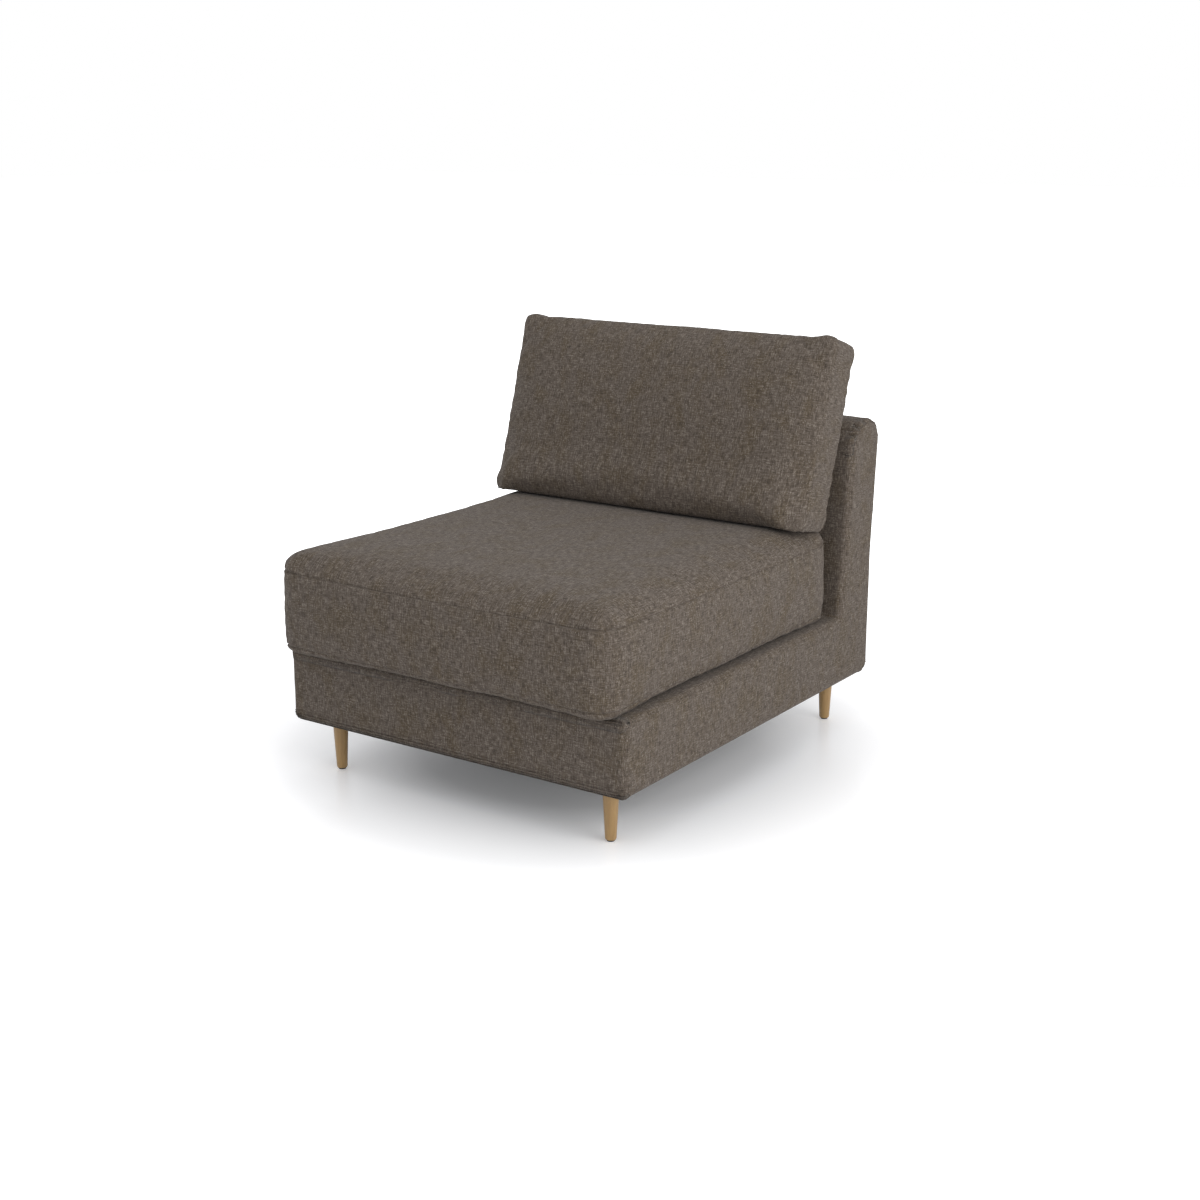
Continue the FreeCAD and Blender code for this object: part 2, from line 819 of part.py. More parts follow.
def body_soft_parts():
    soft = padding_parts()
    soft["outer_cover"] = outer_cover()
    soft["dust_cover"] = dust_cover()
    soft["side_wadding_right"] = side_wadding()
    soft["side_wadding_left"] = mirrored(soft["side_wadding_right"])
    felt_z = panel_deck_z - felt_thickness
    reach = panel_inner_x - 1
    soft["deck_felt"] = block(-reach, reach, frame_front_y + 1, seat_rail_y, felt_z, panel_deck_z)
    return soft


def back_frame_parts():
    rails = {}
    for name, rise in (("back_lower_rail", back_lower_rail_rise), ("back_upper_rail", back_upper_rail_rise)):
        rails[name] = rail_with_tabs(back_rail_sides(rise), back_rail_height / 2)
    low = deck_z + back_lower_rail_rise + back_rail_height
    high = deck_z + back_upper_rail_rise
    y0 = back_rail_sides(0)[2]
    half = stile_width / 2
    side = tenon_shoulder
    y1 = y0 + rail_thickness
    tenon = (2 * side - half, half - 2 * side, y0 + side, y1 - side, low - tenon_length, high + tenon_length)
    parts = {name: leaned(rail.cut(grown(tenon, tab_clearance))) for name, rail in rails.items()}
    parts["back_centre_stile"] = leaned(fused([block(-half, half, y0, y1, low, high), block(*tenon)]))
    parts["back_top_rail"] = rail_with_tabs(top_rail_sides(), top_rail_height / 2)
    foot = deck_z + front_board_rise
    face = y0 - board_thickness
    reach = panel_outer_x
    parts["back_front_board"] = leaned(block(-reach, reach, face, y0, foot, foot + front_board_height))
    parts["back_rear_board"] = rear_board()
    return parts


def base_frame_parts(fastened):
    tenon = grown(stretcher_tenon_sides(), tab_clearance)
    envelope = side_prism(-panel_outer_x, panel_outer_x, *frame_insets())
    parts = {}
    for name, sides in base_rails().items():
        rail = rail_with_tabs(sides, tab_height).common(envelope).cut(tenon).cut(fastened)
        for front in (True, False):
            end_tab = grown(plate_boxes(front)[2], tab_clearance)
            rail = rail.cut(end_tab).cut(mirrored(end_tab))
        parts[name] = rail
    parts["centre_stretcher"] = fused([block(*stretcher_sides()), block(*stretcher_tenon_sides())])
    right = {
        "side_panel": side_panel(),
        "seat_batten": block(*batten_sides()).cut(fastened),
        "leg_plate_front": leg_plate(True),
        "leg_plate_rear": leg_plate(False),
        "corner_block_front": corner_block(True),
        "corner_block_rear": corner_block(False),
    }
    for name, shape in right.items():
        parts[name + "_right"] = shape
        parts[name + "_left"] = mirrored(shape)
    return parts


def leg_parts():
    parts = {}
    names = ("leg_front_left", "leg_front_right", "leg_rear_left", "leg_rear_right")
    places = leg_places()
    for name, place in zip(names, places):
        parts[name] = leg(*place)
    parts["hanger_bolts"] = Part.makeCompound([hanger_bolt(*place) for place in places])
    parts["bolt_nuts"] = Part.makeCompound([bolt_nut(*place) for place in places])
    parts["foot_glides"] = Part.makeCompound([foot_glide(*place) for place in places])
    return parts


def main():
    os.makedirs("parts", exist_ok=True)
    parts = webbing_parts()
    parts.update(base_frame_parts(parts["webbing_staples"]))
    parts.update(back_frame_parts())
    parts.update(leg_parts())
    parts.update(body_soft_parts())
    parts.update(seat_cushion_parts())
    parts.update(back_cushion_parts())
    for name, shape in parts.items():
        shape.exportStep("parts/" + name + ".step")


main()
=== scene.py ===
import json
import math

import bmesh
import bpy
import numpy as np
from bpy.props import FloatProperty, FloatVectorProperty, PointerProperty
from mathutils import Matrix, Vector, noise


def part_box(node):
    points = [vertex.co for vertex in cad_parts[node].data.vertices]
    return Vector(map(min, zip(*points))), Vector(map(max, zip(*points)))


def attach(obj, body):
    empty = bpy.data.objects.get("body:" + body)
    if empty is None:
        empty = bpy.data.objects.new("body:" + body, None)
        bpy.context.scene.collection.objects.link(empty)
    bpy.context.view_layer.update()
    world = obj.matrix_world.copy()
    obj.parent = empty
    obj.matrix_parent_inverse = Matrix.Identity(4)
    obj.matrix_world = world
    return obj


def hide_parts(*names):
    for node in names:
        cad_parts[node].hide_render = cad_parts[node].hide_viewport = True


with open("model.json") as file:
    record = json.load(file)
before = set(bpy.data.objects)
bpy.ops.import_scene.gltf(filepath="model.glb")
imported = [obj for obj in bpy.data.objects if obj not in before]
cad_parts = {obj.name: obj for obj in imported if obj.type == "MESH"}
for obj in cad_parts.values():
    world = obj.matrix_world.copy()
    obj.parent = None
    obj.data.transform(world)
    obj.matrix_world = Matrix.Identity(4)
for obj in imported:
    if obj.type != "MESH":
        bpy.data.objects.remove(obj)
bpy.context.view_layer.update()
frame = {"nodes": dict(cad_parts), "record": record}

# An armless sofa module: an upholstered L-shaped body on four turned legs, a loose seat cushion and a
# loose back cushion that leans on the backrest. Metres, +X right seen from the front, +Y back, +Z up.

bl_info = {
    "name": "Armless sofa",
    "version": (1, 0, 0),
    "blender": (4, 5, 0),
    "location": "3D View > Sidebar > Sofa",
    "description": "Dresses an armless sofa module in cloth, oak and its inner materials",
    "category": "Object",
}


def length_property(name, description, default):
    return FloatProperty(name=name, description=description, default=default, unit="LENGTH")


def angle_property(name, description, degrees):
    return FloatProperty(name=name, description=description, default=math.radians(degrees), subtype="ANGLE")


def colour_property(name, description, *default):
    return FloatVectorProperty(name=name, description=description, default=default, subtype="COLOR", size=3)


class SofaSizes(bpy.types.PropertyGroup):
    """Sizes of what is seen of the sofa"""

    deck_height: length_property("Deck height", "Height of the deck above the floor", 0.258)
    backrest_foot: length_property("Backrest foot", "Depth of the backrest at the deck", 0.139)
    backrest_lean: angle_property("Backrest lean", "Lean of the backrest's inside", 5.2)
    rear_swell: length_property("Rear swell", "How far the top of the back stands out", 0.021)
    swell_drop: length_property("Swell drop", "Height over which the back swells", 0.280)
    side_edge: length_property("Side edge", "Rounding along the body's side edges", 0.012)
    cushion_lean: angle_property("Cushion lean", "Lean of the back cushion", 18.5)
    thread: length_property("Thread pitch", "Distance from thread to thread", 0.0016)


class SofaColours(bpy.types.PropertyGroup):
    """Colours of the finishes"""

    cloth: colour_property("Cloth", "Main yarn", 0.132, 0.107, 0.087)
    fleck: colour_property("Fleck", "Light yarn", 0.295, 0.256, 0.218)
    shade: colour_property("Shade", "Dark yarn", 0.053, 0.042, 0.034)
    patch: colour_property("Patch", "Brown cast in patches", 0.112, 0.084, 0.053)
    nep: colour_property("Nep", "Sparse pale specks", 0.44, 0.39, 0.34)
    oak: colour_property("Oak", "Lacquered oak", 0.47, 0.295, 0.118)
    oak_dark: colour_property("Oak grain", "Dark grain of the oak", 0.30, 0.175, 0.07)
    floor: colour_property("Floor", "Pale studio floor", 0.95, 0.955, 0.97)


def sizes():
    return bpy.context.scene.sofa_sizes


def colours():
    return bpy.context.scene.sofa_colours


# Meshes

def as_object(name, bm, *materials):
    mesh = bpy.data.meshes.new(name)
    bm.to_mesh(mesh)
    bm.free()
    for finish in materials:
        mesh.materials.append(finish)
    piece = bpy.data.objects.new(name, mesh)
    bpy.context.scene.collection.objects.link(piece)
    smooth(mesh)
    return piece


def smooth(mesh):
    mesh.polygons.foreach_set("use_smooth", [True] * len(mesh.polygons))


def keep_edges(piece, degrees):
    piece.data.set_sharp_from_angle(angle=math.radians(degrees))


# The finished shape of a piece: its modifiers become its mesh
def apply_modifiers(piece):
    depsgraph = bpy.context.evaluated_depsgraph_get()
    mesh = bpy.data.meshes.new_from_object(piece.evaluated_get(depsgraph))
    old = piece.data
    piece.modifiers.clear()
    piece.data = mesh
    mesh.name = old.name
    bpy.data.meshes.remove(old)
    smooth(mesh)


def read(items, name, width=3):
    flat = np.empty(len(items) * width)
    items.foreach_get(name, flat)
    return flat.reshape(-1, width) if width > 1 else flat


def whole(items, name):
    return read(items, name, 1).astype(np.int64)


def points_of(piece):
    return read(piece.data.vertices, "co")


def put_points(mesh, points):
    mesh.vertices.foreach_set("co", points.ravel())
    mesh.update()


# Values along a seam that come and go, from a few sines that never fall into step
def ripple(place, length, seed):
    turn = 2 * np.pi * place / length
    return (
        0.5 * np.sin(turn + 1.7 * seed)
        + 0.3 * np.sin(1.93 * turn + 3.1 * seed)
        + 0.2 * np.sin(0.47 * turn + 5.3 * seed)
    )


def bell(distance, width):
    return np.exp(-((distance / width) ** 2))


def eased(value):
    value = np.clip(value, 0, 1)
    return value * value * (3 - 2 * value)


# Lays cloth on a mesh: a UV map in metres, flat on each side, with each side on its own part of the weave
def lay(mesh, points, side_of_face):
    place = points[whole(mesh.loops, "vertex_index")]
    side = np.repeat(side_of_face, whole(mesh.polygons, "loop_total"))
    layer = mesh.uv_layers.get("cloth") or mesh.uv_layers.new(name="cloth")
    across = np.choose(side, [place[:, 1] + 2.3, place[:, 0], place[:, 0] + 5.1])
    along = np.choose(side, [place[:, 2], place[:, 2] + 1.7, place[:, 1] + 3.9])
    layer.data.foreach_set("uv", np.stack([across, along], axis=1).ravel())


# On a cushion each face is on the side of the block that it was cut from
def lay_panels(piece, half):
    mesh = piece.data
    rest = read(mesh.attributes["rest"].data, "vector")
    reach = np.abs(rest[whole(mesh.loops, "vertex_index")]) / np.array(half)
    lay(mesh, rest, np.add.reduceat(reach, whole(mesh.polygons, "loop_start"), axis=0).argmax(axis=1))


# On the body each face is on the side that it looks to
def lay_cloth(piece):
    mesh = piece.data
    lay(mesh, read(mesh.vertices, "co"), np.abs(read(mesh.polygons, "normal")).argmax(axis=1))


def bisected(bm, axis, places):
    direction = Vector((0, 0, 0))
    direction[axis] = 1
    for place in places:
        geometry = bm.verts[:] + bm.edges[:] + bm.faces[:]
        bmesh.ops.bisect_plane(bm, geom=geometry, plane_co=direction * place, plane_no=direction)


def even(low, high, step):
    count = max(1, round((high - low) / step))
    return [low + (high - low) * k / count for k in range(1, count)]


# Cuts through a block: even steps, and closer ones beside each seam
def cut_places(half, step):
    near = [half - gap for gap in (0.0022, 0.0048, 0.0085, 0.0135)]
    inner = half - 0.020
    count = max(1, round(2 * inner / step))
    even = [-inner + 2 * inner * k / count for k in range(count + 1)]
    return sorted(even + near + [-place for place in near])


# A closed block of small squares
def block_grid(half, step):
    bm = bmesh.new()
    bmesh.ops.create_cube(bm, size=2.0, matrix=Matrix.Diagonal((*half, 1)))
    for axis in range(3):
        bisected(bm, axis, cut_places(half[axis], step))
    return bm


# Turns a panel over its edge: how far in and how far up a point comes, from its distance to the seam
def turn_over(distance, reach, radius):
    bend = radius * math.pi / 2
    angle = np.minimum(distance / radius, math.pi / 2)
    spare = np.maximum(distance - bend, 0)
    inward = radius * (1 - np.cos(angle)) + spare * (reach - radius) / (reach - bend)
    return inward, radius * np.sin(angle), spare


# A block's point on a stuffed cushion: boxing that swells, panels that turn over their seams and crown
def stuffed(rest, half, corner, swell, top, bottom):
    x, y, z = rest.T
    level = z / half[2]
    draw = swell * level**2
    height = z.copy()
    panels = ((level > 0.99999, 1, top), (level < -0.99999, -1, bottom))
    inset_x = draw.copy()
    inset_y = draw.copy()
    for on_panel, side, (radius, crown, fall) in panels:
        in_x, rise_x, spare_x = turn_over(half[0] - np.abs(x), half[0], radius)
        in_y, rise_y, spare_y = turn_over(half[1] - np.abs(y), half[1], radius)
        full = (1 - np.exp(-spare_x / fall)) * (1 - np.exp(-spare_y / fall))
        rise = np.minimum(rise_x, rise_y) + crown * full
        height = np.where(on_panel, z + side * rise, height)
        inset_x = np.where(on_panel, draw * np.abs(x) / half[0] + in_x - (half[0] - np.abs(x)), inset_x)
        inset_y = np.where(on_panel, draw * np.abs(y) / half[1] + in_y - (half[1] - np.abs(y)), inset_y)
    wide = np.abs(x) - inset_x * np.minimum(1, np.abs(x) / half[0] * 1.0001)
    deep = np.abs(y) - inset_y * np.minimum(1, np.abs(y) / half[1] * 1.0001)
    over_x = np.maximum(wide - (half[0] - corner), 0)
    over_y = np.maximum(deep - (half[1] - corner), 0)
    both = (over_x > 0) & (over_y > 0)
    ratio = np.where(both, np.maximum(over_x, over_y) / np.maximum(np.hypot(over_x, over_y), 1e-9), 1)
    wide = np.where(both, half[0] - corner + over_x * ratio, wide)
    deep = np.where(both, half[1] - corner + over_y * ratio, deep)
    return np.stack([np.sign(x) * wide, np.sign(y) * deep, height], axis=1)


# How far a block's point lies from its nearest edge, which is where the seams are
def seam_distance(rest, half):
    gaps = np.array(half) - np.abs(rest)
    return np.sort(gaps, axis=1)[:, 1]


# The distance along the seam
def seam_place(rest, half):
    gaps = np.array(half) - np.abs(rest)
    along = gaps.argmax(axis=1)
    return np.take_along_axis(rest, along[:, None], axis=1)[:, 0] + along * 0.37


# A cover blown up by its filling, with its seams held: its result is kept as the piece's mesh
def inflate(piece, held, pressure, cap, slack, share):
    pins = piece.vertex_groups.new(name="held")
    for k in np.nonzero(held)[0]:
        pins.add([int(k)], 1.0, "REPLACE")
    start = points_of(piece)
    cloth = piece.modifiers.new("cloth", "CLOTH")
    settings = {
        "quality": 5, "mass": 0.25, "tension_stiffness": 12, "bending_stiffness": 0.4, "use_pressure": True,
        "uniform_pressure_force": pressure, "shrink_min": -slack, "vertex_group_mass": "held",
    }
    for name, value in settings.items():
        setattr(cloth.settings, name, value)
    cloth.settings.effector_weights.gravity = 0
    cloth.collision_settings.use_collision = False
    scene = bpy.context.scene
    last_step = 20
    for step in range(1, last_step + 1):
        scene.frame_set(step)
    shown = piece.evaluated_get(bpy.context.evaluated_depsgraph_get())
    moved = points_of(shown) - start
    length = np.linalg.norm(moved, axis=1, keepdims=True)
    moved *= np.reshape(share, (-1, 1)) * cap * np.tanh(length / cap) / np.maximum(length, 1e-9)
    piece.modifiers.clear()
    piece.vertex_groups.clear()
    put_points(piece.data, start + moved)
    scene.frame_set(1)


def finer(piece):
    subdivision = piece.modifiers.new("finer", "SUBSURF")
    subdivision.levels = 1
    subdivision.render_levels = 1
    apply_modifiers(piece)


# A sewn cushion from its block: shaped, filled, refined and then gathered along its seams
def cushion(name, half, step, shape, filling, finish, seam, upright_seam):
    piece = as_object(name, block_grid(half, step), finish)
    rest = points_of(piece)
    layer = piece.data.attributes.new("rest", "FLOAT_VECTOR", "POINT")
    layer.data.foreach_set("vector", rest.ravel())
    put_points(piece.data, shape(rest))
    on_seam = 0.0005
    held = seam_distance(rest, half) < on_seam
    boxing = (half[2] - np.abs(rest[:, 2])) > 1e-5
    pressure, cap, slack, boxing_share = filling
    inflate(piece, held, pressure, cap, slack, np.where(boxing, boxing_share, 1.0))
    finer(piece)
    gather_seams(piece, half, seam, upright_seam)
    return piece


# A groove along each seam, with puckers beside it. The upright seams have their own share. Those at the far
# end are shallower, which is the seat's rear and the back cushion's top.
def gather_seams(piece, half, seam, upright_seam):
    rest = read(piece.data.attributes["rest"].data, "vector")
    depth, pucker, reach = seam
    groove, pucker_place, far_band, far_share = 0.0026, 0.006, 0.02, 0.5
    distance = seam_distance(rest, half)
    place = seam_place(rest, half)
    gather = ripple(place + 0.6 * distance, 0.031, 1.0) + 0.7 * ripple(place - 0.4 * distance, 0.057, 2.0)
    gather *= 0.55 + 0.45 * ripple(place, 0.19, 3.0)
    upright = (np.array(half) - np.abs(rest)).argmax(axis=1) == 2
    sewn = np.where(upright, upright_seam, 1.0)
    sewn *= np.where(rest[:, 1] > half[1] - far_band, far_share, 1.0)
    sunk = sewn * (-depth * bell(distance, groove) + pucker * gather * bell(distance - pucker_place, reach))
    broad = 0.0012 * ripple(place, 0.31, 4.0) * bell(distance - 0.03, 0.05)
    points = points_of(piece)
    put_points(piece.data, points + read(piece.data.vertices, "normal") * (sunk + broad)[:, None])


# Shader nodes

def add(tree, kind, **values):
    node = tree.nodes.new(kind)
    for name, value in values.items():
        setattr(node, name, value)
    return node


def link(source, target):
    target.id_data.links.new(source, target)


def put(node, **values):
    for name, value in values.items():
        node.inputs[name.replace("_", " ")].default_value = value


def math_node(tree, operation, first, second=None, third=None):
    node = add(tree, "ShaderNodeMath", operation=operation)
    for socket, value in zip(node.inputs, (first, second, third)):
        if value is None:
            continue
        if isinstance(value, (int, float)):
            socket.default_value = value
        else:
            link(value, socket)
    return node.outputs[0]


def times(tree, first, second):
    return math_node(tree, "MULTIPLY", first, second)


def mixed(tree, factor, first, second):
    node = add(tree, "ShaderNodeMix", data_type="RGBA")
    for socket, value in zip((node.inputs[0], node.inputs[6], node.inputs[7]), (factor, first, second)):
        if isinstance(value, (int, float)):
            socket.default_value = value
        else:
            link(value, socket)
    return node.outputs[2]


def scaled(tree, vector, scale):
    node = add(tree, "ShaderNodeMapping")
    put(node, Scale=scale)
    link(vector, node.inputs["Vector"])
    return node.outputs[0]


def noise_node(tree, vector, scale, detail=2.0, rough=0.5, distortion=0.0):
    node = add(tree, "ShaderNodeTexNoise")
    put(node, Scale=scale, Detail=detail, Roughness=rough, Distortion=distortion)
    link(vector, node.inputs["Vector"])
    return node.outputs["Fac"]


def ranged(tree, value, low, high, to_low=0.0, to_high=1.0):
    node = add(tree, "ShaderNodeMapRange", clamp=True)
    put(node, From_Min=low, From_Max=high, To_Min=to_low, To_Max=to_high)
    link(value, node.inputs["Value"])
    return node.outputs[0]


def group(name, inputs, outputs):
    tree = bpy.data.node_groups.new(name, "ShaderNodeTree")
    for label, kind, value in inputs:
        socket = tree.interface.new_socket(name=label, in_out="INPUT", socket_type=kind)
        if value is not None:
            socket.default_value = value
    for label, kind in outputs:
        tree.interface.new_socket(name=label, in_out="OUTPUT", socket_type=kind)
    return tree, add(tree, "NodeGroupInput"), add(tree, "NodeGroupOutput")


# A mottled woven cloth: crossing threads, slubs both ways, light flecks and broad brown patches
def weave_group():
    tree, given, result = group(
        "mottled weave",
        [
            ("Vector", "NodeSocketVector", None),
            ("Yarn", "NodeSocketColor", (*colours().cloth, 1)),
            ("Fleck", "NodeSocketColor", (*colours().fleck, 1)),
            ("Shade", "NodeSocketColor", (*colours().shade, 1)),
            ("Patch", "NodeSocketColor", (*colours().patch, 1)),
            ("Nep", "NodeSocketColor", (*colours().nep, 1)),
            ("Threads", "NodeSocketFloat", 1 / sizes().thread),
        ],
        [("Color", "NodeSocketColor"), ("Height", "NodeSocketFloat"), ("Roughness", "NodeSocketFloat")],
    )
    vector = given.outputs["Vector"]
    upright = noise_node(tree, scaled(tree, vector, (430, 62, 1)), 1.0, 2.0, 0.6)
    level = noise_node(tree, scaled(tree, vector, (70, 400, 1)), 1.0, 2.0, 0.6)
    fine = noise_node(tree, scaled(tree, vector, (420, 300, 1)), 1.0, 1.0, 0.5)
    medium = noise_node(tree, vector, 85.0, 2.0, 0.55)
    broad = noise_node(tree, scaled(tree, vector, (1.0, 0.6, 1)), 22.0, 3.0, 0.6, 0.3)
    warp_tone = times(tree, upright, 0.55)
    tone = math_node(tree, "ADD", warp_tone, times(tree, level, 0.45))
    dark = ranged(tree, tone, 0.50, 0.38)
    light = ranged(tree, tone, 0.52, 0.64)
    flecks = times(tree, ranged(tree, fine, 0.60, 0.68), ranged(tree, medium, 0.46, 0.60))
    patches = ranged(tree, broad, 0.45, 0.66)
    patched = times(tree, patches, 0.7)
    colour = mixed(tree, patched, given.outputs["Yarn"], given.outputs["Patch"])
    colour = mixed(tree, ranged(tree, medium, 0.48, 0.30, 0.0, 0.30), colour, given.outputs["Shade"])
    colour = mixed(tree, times(tree, dark, 0.72), colour, given.outputs["Shade"])
    colour = mixed(tree, times(tree, light, 0.60), colour, given.outputs["Fleck"])
    colour = mixed(tree, times(tree, flecks, 0.85), colour, given.outputs["Fleck"])
    neps = noise_node(tree, scaled(tree, vector, (430, 330, 1)), 1.0, 0.0, 0.5)
    colour = mixed(tree, ranged(tree, neps, 0.70, 0.78, 0.0, 0.35), colour, given.outputs["Nep"])
    parts = add(tree, "ShaderNodeSeparateXYZ")
    link(vector, parts.inputs[0])
    turns = times(tree, given.outputs["Threads"], 2 * math.pi)
    warp = math_node(tree, "SINE", times(tree, parts.outputs[0], turns))
    weft = math_node(tree, "SINE", times(tree, parts.outputs[1], turns))
    crossing = times(tree, warp, weft)
    height = math_node(tree, "MULTIPLY_ADD", crossing, 0.18, times(tree, tone, 1.2))
    height = math_node(tree, "ADD", height, times(tree, fine, 0.35))
    link(colour, result.inputs["Color"])
    link(height, result.inputs["Height"])
    link(ranged(tree, tone, 0.35, 0.65, 0.98, 0.88), result.inputs["Roughness"])
    return tree


# A plain surface: a colour that drifts between two tones, with a fine height
def drift_group():
    tree, given, result = group(
        "drifting tone",
        [
            ("Vector", "NodeSocketVector", None),
            ("Light", "NodeSocketColor", (0.5, 0.5, 0.5, 1)),
            ("Dark", "NodeSocketColor", (0.3, 0.3, 0.3, 1)),
            ("Scale", "NodeSocketFloat", 60.0),
            ("Fine", "NodeSocketFloat", 900.0),
        ],
        [("Color", "NodeSocketColor"), ("Height", "NodeSocketFloat")],
    )
    broad = add(tree, "ShaderNodeTexNoise")
    small = add(tree, "ShaderNodeTexNoise")
    for node, name in ((broad, "Scale"), (small, "Fine")):
        put(node, Detail=4.0)
        link(given.outputs["Vector"], node.inputs["Vector"])
        link(given.outputs[name], node.inputs["Scale"])
    colour = mixed(
        tree, ranged(tree, broad.outputs["Fac"], 0.35, 0.65), given.outputs["Dark"], given.outputs["Light"]
    )
    shift = ranged(tree, small.outputs["Fac"], 0.3, 0.7, 0.85, 1.12)
    bright = add(tree, "ShaderNodeVectorMath", operation="SCALE")
    link(colour, bright.inputs[0])
    link(shift, bright.inputs["Scale"])
    link(bright.outputs[0], result.inputs["Color"])
    link(small.outputs["Fac"], result.inputs["Height"])
    return tree


# Sawn or turned wood with its grain along Z
def grain_group():
    tree, given, result = group(
        "wood grain",
        [
            ("Vector", "NodeSocketVector", None),
            ("Light", "NodeSocketColor", (*colours().oak, 1)),
            ("Dark", "NodeSocketColor", (*colours().oak_dark, 1)),
        ],
        [("Color", "NodeSocketColor"), ("Height", "NodeSocketFloat"), ("Roughness", "NodeSocketFloat")],
    )
    vector = given.outputs["Vector"]
    figure = noise_node(tree, scaled(tree, vector, (1, 1, 0.09)), 170.0, 4.0, 0.6, 0.8)
    pores = noise_node(tree, scaled(tree, vector, (1, 1, 0.035)), 1500.0, 2.0, 0.6)
    broad = noise_node(tree, scaled(tree, vector, (1, 1, 0.3)), 28.0, 2.0, 0.5)
    bands = ranged(tree, figure, 0.38, 0.68)
    banded = times(tree, bands, 0.55)
    colour = mixed(tree, banded, given.outputs["Light"], given.outputs["Dark"])
    colour = mixed(tree, ranged(tree, pores, 0.62, 0.75, 0.0, 0.5), colour, given.outputs["Dark"])
    colour = mixed(tree, ranged(tree, broad, 0.3, 0.7, 0.0, 0.25), colour, given.outputs["Dark"])
    link(colour, result.inputs["Color"])
    link(math_node(tree, "SUBTRACT", 1.0, pores), result.inputs["Height"])
    link(ranged(tree, pores, 0.4, 0.7, 0.38, 0.55), result.inputs["Roughness"])
    return tree


def shared(name, make):
    return bpy.data.node_groups.get(name) or make()


def material(name):
    made = bpy.data.materials.new(name)
    made.use_nodes = True
    tree = made.node_tree
    return made, tree, tree.nodes["Principled BSDF"]


def bumped(tree, shader, height, strength, distance):
    bump = add(tree, "ShaderNodeBump")
    put(bump, Strength=strength, Distance=distance)
    link(height, bump.inputs["Height"])
    link(bump.outputs[0], shader.inputs["Normal"])


def coordinates(tree, kind="Object"):
    return add(tree, "ShaderNodeTexCoord").outputs[kind]


def cloth_material(name):
    made = bpy.data.materials.get(name)
    if made:
        return made
    made, tree, shader = material(name)
    weave = add(tree, "ShaderNodeGroup", node_tree=shared("mottled weave", weave_group))
    link(coordinates(tree, "UV"), weave.inputs["Vector"])
    link(weave.outputs["Color"], shader.inputs["Base Color"])
    link(weave.outputs["Roughness"], shader.inputs["Roughness"])
    put(shader, Specular_IOR_Level=0.12, Sheen_Weight=0.10, Sheen_Roughness=0.45)
    bumped(tree, shader, weave.outputs["Height"], 0.55, 0.0009)
    return made


def drift_material(name, light, dark, scale=60.0, fine=900.0, rough=0.8, metallic=0.0, bump=0.2):
    made = bpy.data.materials.get(name)
    if made:
        return made
    made, tree, shader = material(name)
    surface = add(tree, "ShaderNodeGroup", node_tree=shared("drifting tone", drift_group))
    link(coordinates(tree), surface.inputs["Vector"])
    put(surface, Light=(*light, 1), Dark=(*dark, 1), Scale=scale, Fine=fine)
    link(surface.outputs["Color"], shader.inputs["Base Color"])
    put(shader, Roughness=rough, Metallic=metallic)
    bumped(tree, shader, surface.outputs["Height"], bump, 0.0005)
    return made


def wood_material(name, light, dark, gloss, along=2):
    made = bpy.data.materials.get(name)
    if made:
        return made
    made, tree, shader = material(name)
    grain = add(tree, "ShaderNodeGroup", node_tree=shared("wood grain", grain_group))
    turned = add(tree, "ShaderNodeMapping")
    put(turned, Rotation=((0, math.pi / 2, 0), (math.pi / 2, 0, 0), (0, 0, 0))[along])
    link(coordinates(tree), turned.inputs["Vector"])
    link(turned.outputs[0], grain.inputs["Vector"])
    put(grain, Light=(*light, 1), Dark=(*dark, 1))
    link(grain.outputs["Color"], shader.inputs["Base Color"])
    link(grain.outputs["Roughness"], shader.inputs["Roughness"])
    put(shader, Coat_Weight=gloss, Coat_Roughness=0.3)
    bumped(tree, shader, grain.outputs["Height"], 0.15, 0.0003)
    return made


# Elastic webbing: a dark weave with a checked relief
def strap_material():
    made = bpy.data.materials.get("elastic webbing")
    if made:
        return made
    made = drift_material("elastic webbing", *PLAIN["webbing"])
    tree = made.node_tree
    ribs = add(tree, "ShaderNodeTexChecker")
    put(ribs, Scale=420.0)
    link(coordinates(tree), ribs.inputs["Vector"])
    bump = next(node for node in tree.nodes if node.type == "BUMP")
    link(ribs.outputs["Fac"], bump.inputs["Height"])
    return made


# How far the rounding of the back's top takes its furthest line in
REAR_EASE = 0.0039


# The body: its side outline is bevelled corner by corner, then drawn out and rounded along both sides
def body_corners():
    low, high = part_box("outer_cover")
    own = sizes()
    rear = high.y - own.rear_swell + REAR_EASE
    deck = own.deck_height
    inside = rear - own.backrest_foot
    leaning = inside + (high.z - deck) * math.tan(own.backrest_lean)
    return [
        (low.y, low.z, 0.015),
        (low.y, deck, 0.015),
        (inside, deck, 0.006),
        (leaning, high.z, 0.071),
        (rear + own.rear_swell, high.z, 0.050),
        (rear, high.z - own.swell_drop, 0.150),
        (rear, low.z, 0.025),
    ]


def body_outline(bm, x):
    corners = body_corners()
    verts = [bm.verts.new((x, y, z)) for y, z, radius in corners]
    bm.faces.new(verts)
    for vert, (y, z, radius) in zip(verts, corners):
        first, second = [(edge.other_vert(vert).co - vert.co).normalized() for edge in vert.link_edges]
        bend = first.angle(second)
        reach = radius / math.tan(bend / 2)
        arc_step = 0.006
        count = max(2, math.ceil(radius * (math.pi - bend) / arc_step))
        bmesh.ops.bevel(
            bm, geom=[vert], offset=reach, segments=count, profile=0.5, affect="VERTICES", material=-1,
            clamp_overlap=False,
        )


